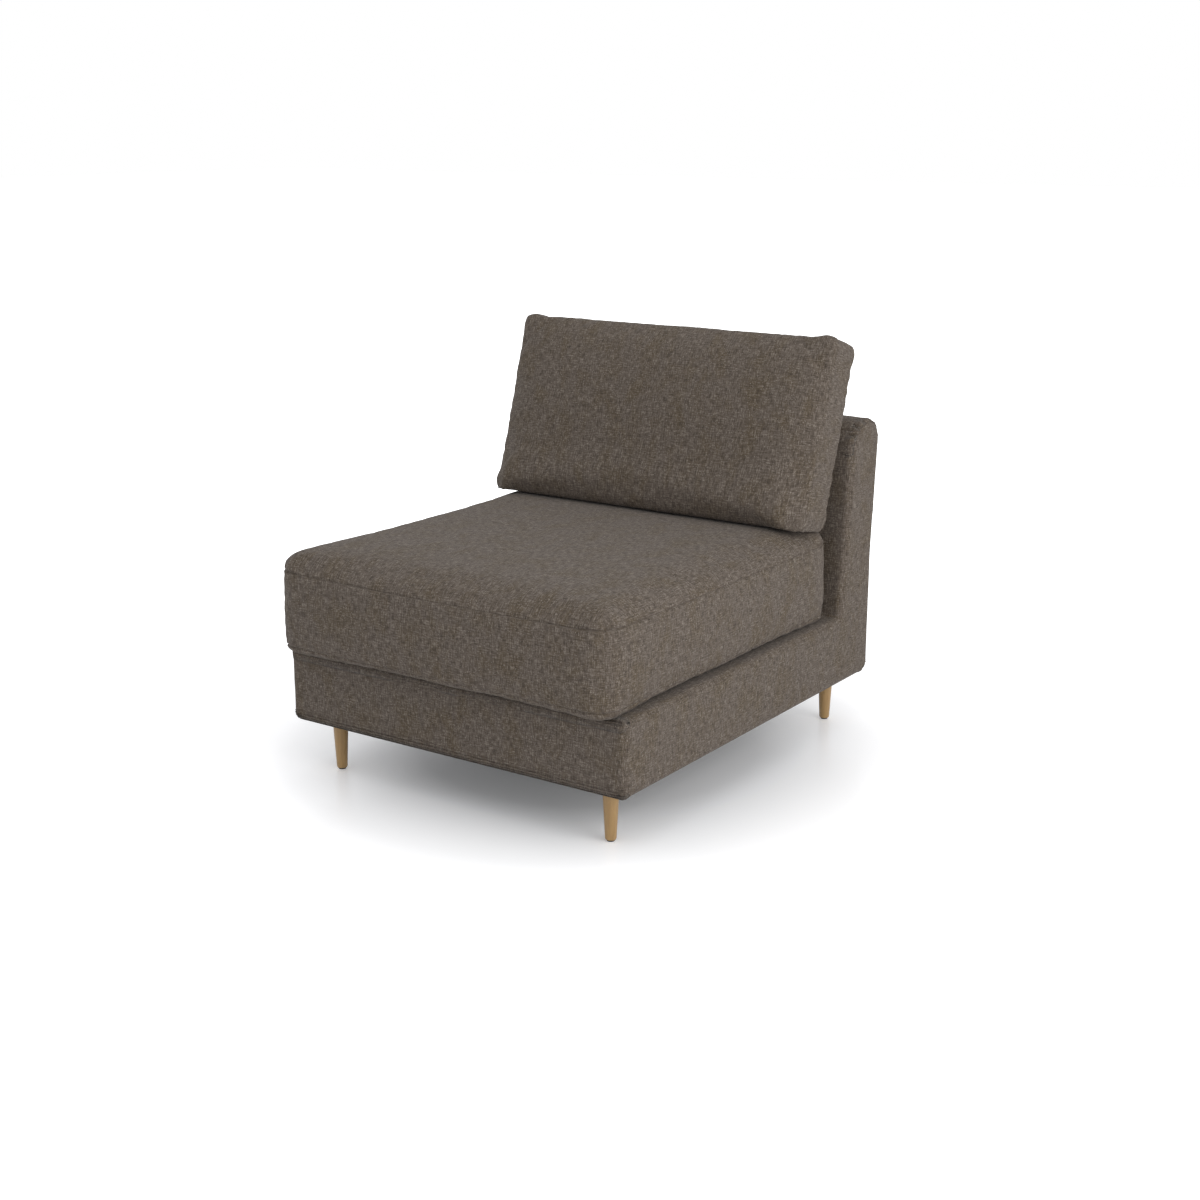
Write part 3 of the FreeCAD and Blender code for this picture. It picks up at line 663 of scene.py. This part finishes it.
class SOFA_OT_body(bpy.types.Operator):
    """The upholstered body, with its cloth turned under at the foot"""

    bl_idname = "sofa.body"
    bl_label = "Body"

    def execute(self, context):
        low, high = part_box("outer_cover")
        edge = sizes().side_edge
        bm = bmesh.new()
        body_outline(bm, low.x)
        drawn = bmesh.ops.extrude_face_region(bm, geom=bm.faces[:])
        moving = [item for item in drawn["geom"] if isinstance(item, bmesh.types.BMVert)]
        bmesh.ops.translate(bm, verts=moving, vec=(high.x - low.x, 0, 0))
        bmesh.ops.recalc_face_normals(bm, faces=bm.faces[:])
        rims = [e for e in bm.edges if all(abs(abs(v.co.x) - high.x) < 1e-6 for v in e.verts)]
        bmesh.ops.bevel(bm, geom=rims, offset=edge, segments=5, profile=0.5, affect="EDGES", material=-1)
        turned, seam_inset, cut, cut_across = 0.032, 0.0045, 0.020, 0.014
        swell, seam = 0.021, high.x - seam_inset
        beside = [side * (seam + gap) for side in (-1, 1) for gap in (-0.0030, -0.0015, 0.0, 0.0015, 0.0030)]
        bisected(bm, 0, even(low.x, high.x, cut_across) + [low.x + turned, high.x - turned] + beside)
        bisected(bm, 1, even(low.y, high.y, cut) + [low.y + turned, high.y - swell - turned])
        bisected(bm, 2, even(low.z, high.z, cut))
        mouth_rear = high.y - swell + REAR_EASE - turned
        mouth = []
        for face in bm.faces:
            x, y, z = face.calc_center_median()
            if z < low.z + 1e-4 and abs(x) < high.x - turned and low.y + turned < y < mouth_rear:
                mouth.append(face)
        bmesh.ops.delete(bm, geom=mouth, context="FACES")
        body = as_object("outer_cover_cloth", bm, cloth_material("body cloth"))
        points = points_of(body)
        normals = read(body.data.vertices, "normal")
        # The deck and the inside of the back lie flat under the cushions
        resting = (normals[:, 2] > 0.2) & (points[:, 2] < sizes().deck_height + 0.02)
        resting |= (normals[:, 1] < -0.2) & (points[:, 1] > 0.3) & (points[:, 2] < high.z - 0.08)
        around = points[:, 1] + points[:, 2]
        distance = np.abs(np.abs(points[:, 0]) - seam)
        gather = ripple(around, 0.027, 1.0) * (0.6 + 0.4 * ripple(around, 0.21, 2.0))
        sewn = -0.0009 * bell(distance, 0.0018) + 0.0004 * gather * bell(distance - 0.004, 0.008)
        uneven = np.array([noise.noise(v * 7.0) + 0.4 * noise.noise(v * 19.0) for v in map(Vector, points)])
        inward = eased((high.x - np.abs(points[:, 0])) / 0.05) + eased((np.abs(normals[:, 0]) - 0.9) * 10)
        fullness, flat, foot_fade = 0.0011, -0.0002, 0.012
        full = fullness * (1 + uneven) * np.minimum(1, inward)
        sunk = np.where(resting, flat, sewn + full)
        sunk *= eased((points[:, 2] - low.z) / foot_fade)
        put_points(body.data, points + normals * sunk[:, None])
        wall = body.modifiers.new("cloth thickness", "SOLIDIFY")
        wall.thickness = 0.0015
        wall.offset = -1
        apply_modifiers(body)
        lay_cloth(body)
        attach(body, "base")
        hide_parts("outer_cover")
        return {"FINISHED"}


# Presses a shallow bed for a zip into a cushion, where the given places look along the zip's face
def zip_bed(points, across, along, depth, inward):
    half_length, end_slope, half_width, side_slope = 0.334, 0.004, 0.0150, 0.0025
    inside = eased((half_length - np.abs(across)) / end_slope)
    inside *= eased((half_width - np.abs(along)) / side_slope)
    return points + np.outer(inside * depth, inward)


class SOFA_OT_seat_cushion(bpy.types.Operator):
    """The loose seat cushion: boxed, crowned, full in front and drawn in at its foot"""

    bl_idname = "sofa.seat_cushion"
    bl_label = "Seat cushion"

    def execute(self, context):
        low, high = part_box("seat_cushion_cover")
        middle_x = (low.x + high.x) / 2
        front, rear = low.y + 0.012, high.y
        middle_y = (front + rear) / 2
        half = ((high.x - low.x) / 2 - 0.004, (rear - front) / 2, 0.0755)
        foot = 0.014
        middle_z = low.z + foot + half[2]

        def shape(rest):
            points = stuffed(rest, half, 0.046, 0.002, (0.030, 0.011, 0.045), (foot, 0.0, 0.05))
            front_swell, side_swell, swell_height = 0.010, 0.002, 0.11
            full = np.clip(1 - (np.abs(points[:, 2]) / swell_height) ** 4, 0, 1)
            ahead = np.clip(-points[:, 1] / half[1], 0, 1) ** 2
            points[:, 1] -= front_swell * ahead * (1 - (points[:, 0] / half[0]) ** 2) * full
            points[:, 0] *= 1 + side_swell / half[0] * full * (1 - (points[:, 1] / half[1]) ** 2)
            return points + np.array([middle_x, middle_y, middle_z])

        seat = cushion(
            "seat_cushion_cloth", half, 0.0095, shape, (4.0, 0.006, 0.012, 0.8), cloth_material("seat cloth"),
            (0.0034, 0.0014, 0.013), 0.25,
        )
        points = points_of(seat)
        # The top rises ahead from its rear edge, and leaves room for the back cushion's foot
        inset = np.maximum(high.y - points[:, 1], 0)
        insets, heights = [0.0, 0.013, 0.052, 0.110, 0.30], [0.18, 0.184, 0.197, 0.207, 0.216]
        ceiling = low.z + np.interp(inset, insets, heights)
        points[:, 2] = np.clip(points[:, 2], low.z, ceiling - 0.0002)
        points[:, 1] = np.minimum(points[:, 1], high.y)
        zip_height, bed_depth = 0.107, 0.0034
        on_rear = np.where(points[:, 1] > high.y - 0.02, points[:, 2] - (low.z + zip_height), 1)
        points = zip_bed(points, points[:, 0] - middle_x, on_rear, bed_depth, (0, -1, 0))
        put_points(seat.data, points)
        lay_panels(seat, half)
        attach(seat, "seat_cushion")
        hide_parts("seat_cushion_cover")
        return {"FINISHED"}


# The back cushion's own frame: x to its right, y up along its lean, z out of its front
def lean_frame():
    lean = sizes().cushion_lean
    up = (0, math.sin(lean), math.cos(lean))
    front = (0, -math.cos(lean), math.sin(lean))
    return np.array([(1, 0, 0), up, front]), np.array([-0.010, 0.3185, 0.659])


class SOFA_OT_back_cushion(bpy.types.Operator):
    """The loose back cushion, leaning on the backrest with its foot on the seat"""

    bl_idname = "sofa.back_cushion"
    bl_label = "Back cushion"

    def execute(self, context):
        axes, middle = lean_frame()
        top, foot, slope = 0.1935, -0.20895, -0.15334
        half = (0.396, (top - foot) / 2, 0.042)

        # The foot's ends settle over the seat's rounded shoulders
        def droop(x):
            return np.interp(half[0] - np.abs(x), [0.0, 0.012, 0.030, 0.045], [0.014, 0.007, 0.002, 0.0])

        def shape(rest):
            points = stuffed(rest, half, 0.038, 0.0, (0.013, 0.024, 0.052), (0.012, 0.019, 0.050))
            from_end = half[0] - np.abs(rest[:, 0])
            rest_up = np.clip(rest[:, 1] / half[1], 0, 1)
            # The top sags between its corners and the sides draw in between theirs
            top_sag, side_waist = 0.0085, 0.0055
            to_corner = np.minimum(1, (half[0] - np.abs(points[:, 0])) / 0.07)
            sag = top_sag * eased(to_corner) * np.clip(points[:, 1] / half[1], 0, 1) ** 2
            waist = side_waist * eased((half[1] - np.abs(points[:, 1])) / 0.055)
            points[:, 1] -= sag
            points[:, 0] -= np.sign(points[:, 0]) * waist * np.clip(np.abs(points[:, 0]) / half[0], 0, 1) ** 6
            # The filling pushes the front out and down at the foot, which follows the seat's slope
            foot_push = 0.020
            points[:, 1] += (top + foot) / 2
            low_part = np.clip((top - points[:, 1]) / (top - foot), 0, 1)
            rest_low = half[1] + rest[:, 1]
            full = foot_push * bell(rest_low - 0.045, 0.050) * np.minimum(1, from_end / 0.05)
            in_front = rest[:, 2] > half[2] - 1e-6
            points[:, 2] += np.where(in_front, full * np.minimum(1, rest_low / 0.02), 0)
            points[:, 1] -= np.where(in_front, 0.9 * full, 0)
            points[:, 1] += slope * points[:, 2] * low_part
            # The top's corners stand out, the top sits low and the rear draws in towards it
            knob_out, knob_up, knob_size, top_low, rear_in = 0.0020, 0.0015, 0.020, 0.0045, 0.010
            knob = bell(from_end, knob_size) * bell(half[1] - rest[:, 1], knob_size)
            points[:, 0] += np.sign(points[:, 0]) * knob_out * knob
            points[:, 1] += knob_up * knob
            points[:, 1] -= top_low * rest_up
            points[:, 2] += rear_in * rest_up**2 * (points[:, 2] < 0)
            points[:, 1] -= droop(rest[:, 0]) * bell(half[1] + rest[:, 1], 0.06)
            return points @ axes + middle

        back = cushion(
            "back_cushion_cloth", half, 0.0085, shape, (4.0, 0.007, 0.016, 0.4), cloth_material("back cloth"),
            (0.0018, 0.0008, 0.016), 1.0,
        )
        own = (points_of(back) - middle) @ axes.T
        sunk = droop(own[:, 0])
        # It stays clear of the seat below it and of the backrest behind it
        clearance, rear = 0.0003, -0.0708
        own[:, 1] = np.maximum(own[:, 1], foot + slope * own[:, 2] + clearance - sunk)
        own[:, 2] = np.maximum(own[:, 2], rear)
        points = own @ axes + middle
        seat_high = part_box("seat_cushion_cover")[1]
        seat_top = seat_high.z + np.interp(seat_high.y - points[:, 1], [0.110, 0.30], [0.0008, 0.0098])
        ahead = points[:, 1] < seat_high.y - 0.105
        points[:, 2] = np.where(ahead, np.maximum(points[:, 2], seat_top - sunk), points[:, 2])
        low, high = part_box("back_zip_tape")
        under = np.where(points[:, 2] < low.z + 0.004, points[:, 1] - (low.y + high.y) / 2, 1)
        bed_depth = 0.0115
        points = zip_bed(points, points[:, 0] - (low.x + high.x) / 2, under, bed_depth, (0, 0, 1))
        put_points(back.data, points)
        lay_panels(back, half)
        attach(back, "back_cushion")
        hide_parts("back_cushion_cover")
        return {"FINISHED"}


class SOFA_OT_legs(bpy.types.Operator):
    """Four turned and lacquered oak legs"""

    bl_idname = "sofa.legs"
    bl_label = "Legs"

    def execute(self, context):
        oak = wood_material("lacquered oak", colours().oak, colours().oak_dark, 0.12)
        for side in ("front_left", "front_right", "rear_left", "rear_right"):
            node = "leg_" + side
            low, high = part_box(node)
            middle = (low + high) / 2
            top = (high.x - low.x) / 2
            foot = 0.01075
            bevel = 0.003
            profile = [
                (0, low.z),
                (foot - bevel, low.z),
                (foot - 0.3 * bevel, low.z + 0.3 * bevel),
                (foot, low.z + bevel),
                (top, high.z),
                (0, high.z),
            ]
            bm = bmesh.new()
            verts = [bm.verts.new((r, 0, z)) for r, z in profile]
            edges = [bm.edges.new(pair) for pair in zip(verts, verts[1:])]
            bmesh.ops.spin(
                bm, geom=verts + edges, axis=(0, 0, 1), cent=(0, 0, 0), angle=2 * math.pi, steps=48,
                use_merge=True,
            )
            bmesh.ops.remove_doubles(bm, verts=bm.verts[:], dist=1e-6)
            bmesh.ops.recalc_face_normals(bm, faces=bm.faces[:])
            bmesh.ops.translate(bm, verts=bm.verts[:], vec=(middle.x, middle.y, 0))
            leg = as_object(node + "_oak", bm, oak)
            keep_edges(leg, 50)
            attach(leg, "base")
            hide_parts(node)
        return {"FINISHED"}


# Finishes of the inner pieces: light tone, dark tone, scale, fine scale, roughness, metal and relief
PLAIN = {
    "fibreboard": ((0.32, 0.20, 0.11), (0.22, 0.13, 0.07), 40.0, 1200.0, 0.8, 0.0, 0.15),
    "foam": ((0.80, 0.74, 0.50), (0.72, 0.64, 0.40), 30.0, 700.0, 0.95, 0.0, 0.5),
    "wadding": ((0.82, 0.82, 0.80), (0.70, 0.70, 0.68), 25.0, 300.0, 0.95, 0.0, 0.6),
    "felt": ((0.30, 0.29, 0.27), (0.20, 0.19, 0.18), 90.0, 900.0, 0.95, 0.0, 0.4),
    "webbing": ((0.040, 0.037, 0.033), (0.020, 0.019, 0.018), 260.0, 1400.0, 0.85, 0.0, 0.5),
    "lining": ((0.016, 0.016, 0.016), (0.007, 0.007, 0.007), 80.0, 1600.0, 0.9, 0.0, 0.4),
    "steel": ((0.62, 0.63, 0.64), (0.48, 0.49, 0.50), 120.0, 1500.0, 0.35, 1.0, 0.05),
    "glide_plastic": ((0.016, 0.016, 0.016), (0.010, 0.010, 0.010), 90.0, 1500.0, 0.5, 0.0, 0.1),
    "zip_tape": ((0.080, 0.064, 0.053), (0.048, 0.038, 0.031), 300.0, 1800.0, 0.85, 0.0, 0.4),
    "zip_metal": ((0.16, 0.145, 0.13), (0.11, 0.10, 0.09), 200.0, 1500.0, 0.4, 1.0, 0.05),
}
PLY = ((0.56, 0.40, 0.22), (0.42, 0.28, 0.14))
PINE = ((0.62, 0.46, 0.26), (0.47, 0.32, 0.16))


def finish_of(slot, piece):
    if slot in PLAIN:
        return drift_material(slot.replace("_", " "), *PLAIN[slot])
    along = int(np.ptp(points_of(piece), axis=0).argmax())
    tones = PLY if slot == "plywood" else PINE
    return wood_material(f"{slot} along {'xyz'[along]}", *tones, 0.0, along)


def slots_of_nodes():
    return {part["node"]: part["material_slot"] for part in frame["record"]["subparts"]}


class SOFA_OT_frame(bpy.types.Operator):
    """Finishes of the wooden frame and its fasteners"""

    bl_idname = "sofa.frame"
    bl_label = "Frame"

    def execute(self, context):
        slots = slots_of_nodes()
        for node, piece in frame["nodes"].items():
            if slots[node] not in ("plywood", "timber", "fibreboard", "steel"):
                continue
            finish = finish_of(slots[node], piece)
            if not piece.material_slots:
                piece.data.materials.append(finish)
            for place in piece.material_slots:
                place.material = finish
        return {"FINISHED"}


# A copy of a CAD node with its triangles joined again into faces
def merged_copy(node):
    bm = bmesh.new()
    bm.from_mesh(frame["nodes"][node].data)
    bmesh.ops.remove_doubles(bm, verts=bm.verts[:], dist=1e-5)
    bmesh.ops.dissolve_limit(bm, angle_limit=math.radians(0.5), verts=bm.verts[:], edges=bm.edges[:])
    bmesh.ops.recalc_face_normals(bm, faces=bm.faces[:])
    return bm


def round_edges(bm, width, segments=2, least=30):
    sharp = [e for e in bm.edges if len(e.link_faces) == 2 and e.calc_face_angle(0) > math.radians(least)]
    bmesh.ops.bevel(
        bm, geom=sharp, offset=width, segments=segments, profile=0.5, affect="EDGES", material=-1,
        clamp_overlap=True,
    )


def body_name(node):
    for name, nodes in BODIES.items():
        if node in nodes:
            return name
    return "base"


BODIES = {
    "seat_cushion": ("seat_cushion_foam", "seat_cushion_wrap", "seat_zip_tape"),
    "back_cushion": ("back_cushion_insert", "back_zip_tape"),
    "seat_slider": ("seat_zip_slider",),
    "back_slider": ("back_zip_slider",),
}


def stand_in(piece, node, degrees=40):
    keep_edges(piece, degrees)
    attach(piece, body_name(node))
    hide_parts(node)


# The back cushion's filling gives way at its rear top, where the cover is drawn in
def settle(bm):
    axes, middle = lean_frame()
    height, lowered, drawn_in, half_depth = 0.2, 0.006, 0.010, 0.04
    for vert in bm.verts:
        own = axes @ (np.array(vert.co) - middle)
        reach = np.clip(own[1] / height, 0, 1)
        own[1] -= lowered * reach
        own[2] += drawn_in * reach**2 * np.clip(-own[2] / half_depth, 0, 1)
        vert.co = own @ axes + middle


class SOFA_OT_padding(bpy.types.Operator):
    """Foam, wadding and cushion fillings, with soft edges and a slightly uneven skin"""

    bl_idname = "sofa.padding"
    bl_label = "Padding"

    def execute(self, context):
        slots = slots_of_nodes()
        for node in (
            "deck_foam", "back_foam", "crest_foam", "front_wadding", "rear_wadding", "side_wadding_left",
            "side_wadding_right", "seat_cushion_foam", "seat_cushion_wrap", "back_cushion_insert",
        ):
            bm = merged_copy(node)
            low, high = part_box(node)
            if node == "seat_cushion_foam":
                round_edges(bm, 0.006)
            for axis in range(3):
                bisected(bm, axis, even(low[axis], high[axis], 0.045))
            bm.normal_update()
            for vert in bm.verts:
                wave = noise.noise(vert.co * 14.0) - 0.6
                vert.co += vert.normal * 0.0003 * wave
            if node == "back_cushion_insert":
                settle(bm)
            pad = as_object(node + "_fill", bm, finish_of(slots[node], frame["nodes"][node]))
            stand_in(pad, node)
        return {"FINISHED"}


class SOFA_OT_webbing(bpy.types.Operator):
    """Interlaced elastic straps under the seat"""

    bl_idname = "sofa.webbing"
    bl_label = "Webbing"

    def execute(self, context):
        for node in ("webbing_long", "webbing_cross"):
            bm = merged_copy(node)
            round_edges(bm, 0.0003, 1, 60)
            straps = as_object(node + "_straps", bm, strap_material())
            stand_in(straps, node)
        return {"FINISHED"}


class SOFA_OT_dust_cover(bpy.types.Operator):
    """The felt over the straps and the black cloth under the base"""

    bl_idname = "sofa.dust_cover"
    bl_label = "Felt and dust cover"

    def execute(self, context):
        slots = slots_of_nodes()
        for node, sag, hold, rests in (
            ("deck_felt", 0.0, "laid", ["webbing_long_straps"]),
            ("dust_cover", 0.004, "stretched", ["outer_cover_cloth"]),
        ):
            bm = merged_copy(node)
            low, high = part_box(node)
            for axis in range(2):
                bisected(bm, axis, even(low[axis], high[axis], 0.04))
            middle = (low + high) / 2
            half = (high - low) / 2
            for vert in bm.verts:
                across = vert.co - middle
                u, v = across.x / half.x, across.y / half.y
                ruck = 1 + 0.35 * noise.noise(Vector((vert.co.x * 5, vert.co.y * 5, 0)))
                vert.co.z -= sag * max(0, (1 - u**4) * (1 - v**4)) * ruck
            cloth = as_object(node + "_cloth", bm, finish_of(slots[node], frame["nodes"][node]))
            stand_in(cloth, node)
        return {"FINISHED"}


class SOFA_OT_zips(bpy.types.Operator):
    """Zip tapes with their teeth, and the sliders that run on them"""

    bl_idname = "sofa.zips"
    bl_label = "Zips"

    def execute(self, context):
        tape = finish_of("zip_tape", None)
        metal = finish_of("zip_metal", None)
        thickness, margin, teeth, stagger = 0.0014, 0.008, 214, 0.0011
        for name, face in (("seat", Vector((0, 1, 0))), ("back", Vector((0, 0, -1)))):
            node = name + "_zip_tape"
            low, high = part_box(node)
            side = Vector((0, 0, 1)) if face.y else Vector((0, 1, 0))
            through = Vector([abs(p) for p in face]) * thickness
            floor = low if face.y else high
            middle = (low + high) / 2
            bm = bmesh.new()
            bed = middle + face * (floor - middle).dot(face) + face * (thickness / 2)
            wide = (high - low).dot(side) - 0.0005
            size = Vector((high.x - low.x, 0, 0)) + side * wide + through
            bmesh.ops.create_cube(bm, size=1.0, matrix=Matrix.LocRotScale(bed, None, size))
            bisected(bm, 0, even(low.x, high.x, 0.02))
            for k in range(teeth):
                x = low.x + margin + (high.x - low.x - 2 * margin) * (k + 0.5) / teeth
                place = Vector((x, middle.y, middle.z)) + side * (stagger if k % 2 else -stagger)
                place += face * ((floor - place).dot(face) + 1.5 * thickness)
                tooth = Vector((0.0017, 0, 0)) + side * 0.0026 + through
                made = bmesh.ops.create_cube(bm, size=1.0, matrix=Matrix.LocRotScale(place, None, tooth))
                for tooth_face in {f for v in made["verts"] for f in v.link_faces}:
                    tooth_face.material_index = 1
            zip_piece = as_object(node + "_teeth", bm, tape, metal)
            stand_in(zip_piece, node)
            node = name + "_zip_slider"
            bm = merged_copy(node)
            round_edges(bm, 0.0003, 2, 60)
            slider = as_object(node + "_metal", bm, metal)
            stand_in(slider, node, 50)
        return {"FINISHED"}


class SOFA_OT_glides(bpy.types.Operator):
    """Plastic glides under the legs"""

    bl_idname = "sofa.glides"
    bl_label = "Glides"

    def execute(self, context):
        bm = merged_copy("foot_glides")
        round_edges(bm, 0.0006, 2, 60)
        glides = as_object("foot_glides_plastic", bm, finish_of("glide_plastic", None))
        stand_in(glides, "foot_glides", 50)
        return {"FINISHED"}


def floor_painted_shadow_material():
    made, tree, shader = material("pale floor with painted shadow")
    put(shader, Base_Color=(*colours().floor, 1), Roughness=0.25, Specular_IOR_Level=0.25)
    # The floor glows to the camera and in reflections: white far out and weaker near the sofa, so its
    # darkening there is partly its own lit shadow and partly painted shadow
    far = add(tree, "ShaderNodeVectorMath", operation="LENGTH")
    link(coordinates(tree), far.inputs[0])
    path = add(tree, "ShaderNodeLightPath")
    seen = math_node(tree, "MAXIMUM", path.outputs["Is Camera Ray"], path.outputs["Is Glossy Ray"])
    # Painted shadow: the glow is weakest under the sofa and grows with the distance from it
    near = ranged(tree, far.outputs["Value"], 0.35, 0.66, 0.07, 0.36)
    level = math_node(tree, "ADD", near, ranged(tree, far.outputs["Value"], 0.62, 1.7, 0.0, 0.75))
    white_glow_painted_shadow = add(tree, "ShaderNodeEmission")
    link(times(tree, seen, level), white_glow_painted_shadow.inputs["Strength"])
    joined = add(tree, "ShaderNodeAddShader")
    link(shader.outputs[0], joined.inputs[0])
    link(white_glow_painted_shadow.outputs[0], joined.inputs[1])
    # Seen from below, the floor lets the underside show
    clear = add(tree, "ShaderNodeBsdfTransparent")
    below = add(tree, "ShaderNodeMixShader")
    link(add(tree, "ShaderNodeNewGeometry").outputs["Backfacing"], below.inputs[0])
    link(joined.outputs[0], below.inputs[1])
    link(clear.outputs[0], below.inputs[2])
    link(below.outputs[0], tree.nodes["Material Output"].inputs["Surface"])
    return made


def area_light(name, place, target, size, power, colour):
    data = bpy.data.lights.new(name, "AREA")
    data.shape = "RECTANGLE"
    data.size, data.size_y = size
    data.energy = power
    data.color = colour
    lamp = bpy.data.objects.new(name, data)
    lamp.location = place
    lamp.rotation_euler = (Vector(target) - Vector(place)).to_track_quat("-Z", "Y").to_euler()
    bpy.context.scene.collection.objects.link(lamp)


class SOFA_OT_stage(bpy.types.Operator):
    """Floor, world, lamps and camera"""

    bl_idname = "sofa.stage"
    bl_label = "Stage"

    def execute(self, context):
        scene = context.scene
        bm = bmesh.new()
        bmesh.ops.create_grid(bm, x_segments=1, y_segments=1, size=30.0)
        floor = as_object("floor", bm, floor_painted_shadow_material())
        world = bpy.data.worlds.new("studio")
        world.use_nodes = True
        tree = world.node_tree
        sky = tree.nodes["Background"]
        put(sky, Color=(0.98, 0.985, 1.0, 1), Strength=0.72)
        white = add(tree, "ShaderNodeBackground")
        put(white, Color=(1, 1, 1, 1))
        path = add(tree, "ShaderNodeLightPath")
        choice = add(tree, "ShaderNodeMixShader")
        link(path.outputs["Is Camera Ray"], choice.inputs[0])
        link(sky.outputs[0], choice.inputs[1])
        link(white.outputs[0], choice.inputs[2])
        link(choice.outputs[0], tree.nodes["World Output"].inputs["Surface"])
        scene.world = world
        area_light("right softbox", (3.2, -0.6, 1.7), (0, 0, 0.35), (2.6, 2.2), 42.0, (1.0, 0.985, 0.96))
        area_light("top softbox", (0.2, -0.8, 3.4), (0, 0, 0.3), (3.0, 3.0), 7.0, (1.0, 0.99, 0.98))
        data = bpy.data.cameras.new("camera")
        data.lens = 53.46
        data.sensor_width = 36.0
        camera = bpy.data.objects.new("camera", data)
        azimuth = math.radians(34.61)
        pitch = math.radians(15.21)
        camera.location = (2.029, -2.8995, 1.276)
        level = math.cos(pitch)
        away = Vector((-math.sin(azimuth) * level, math.cos(azimuth) * level, -math.sin(pitch)))
        camera.rotation_euler = away.to_track_quat("-Z", "Y").to_euler()
        scene.collection.objects.link(camera)
        scene.camera = camera
        scene.view_settings.view_transform = "Standard"
        return {"FINISHED"}


class SOFA_PT_panel(bpy.types.Panel):
    """Sizes, colours and pieces of the sofa"""

    bl_idname = "SOFA_PT_panel"
    bl_label = "Armless sofa"
    bl_space_type = "VIEW_3D"
    bl_region_type = "UI"
    bl_category = "Sofa"

    def draw(self, context):
        layout = self.layout
        for group_of in (context.scene.sofa_sizes, context.scene.sofa_colours):
            for name in group_of.__annotations__:
                layout.prop(group_of, name)
        for operator in OPERATORS:
            layout.operator(operator.bl_idname)


OPERATORS = (
    SOFA_OT_body,
    SOFA_OT_seat_cushion,
    SOFA_OT_back_cushion,
    SOFA_OT_legs,
    SOFA_OT_frame,
    SOFA_OT_padding,
    SOFA_OT_webbing,
    SOFA_OT_dust_cover,
    SOFA_OT_zips,
    SOFA_OT_glides,
    SOFA_OT_stage,
)
CLASSES = (SofaSizes, SofaColours, *OPERATORS, SOFA_PT_panel)


def register():
    for cls in CLASSES:
        bpy.utils.register_class(cls)
    bpy.types.Scene.sofa_sizes = PointerProperty(type=SofaSizes)
    bpy.types.Scene.sofa_colours = PointerProperty(type=SofaColours)


def unregister():
    del bpy.types.Scene.sofa_colours
    del bpy.types.Scene.sofa_sizes
    for cls in reversed(CLASSES):
        bpy.utils.unregister_class(cls)


def main():
    register()
    for operator in OPERATORS:
        family, name = operator.bl_idname.split(".")
        getattr(getattr(bpy.ops, family), name)()


if __name__ == "__main__":
    main()
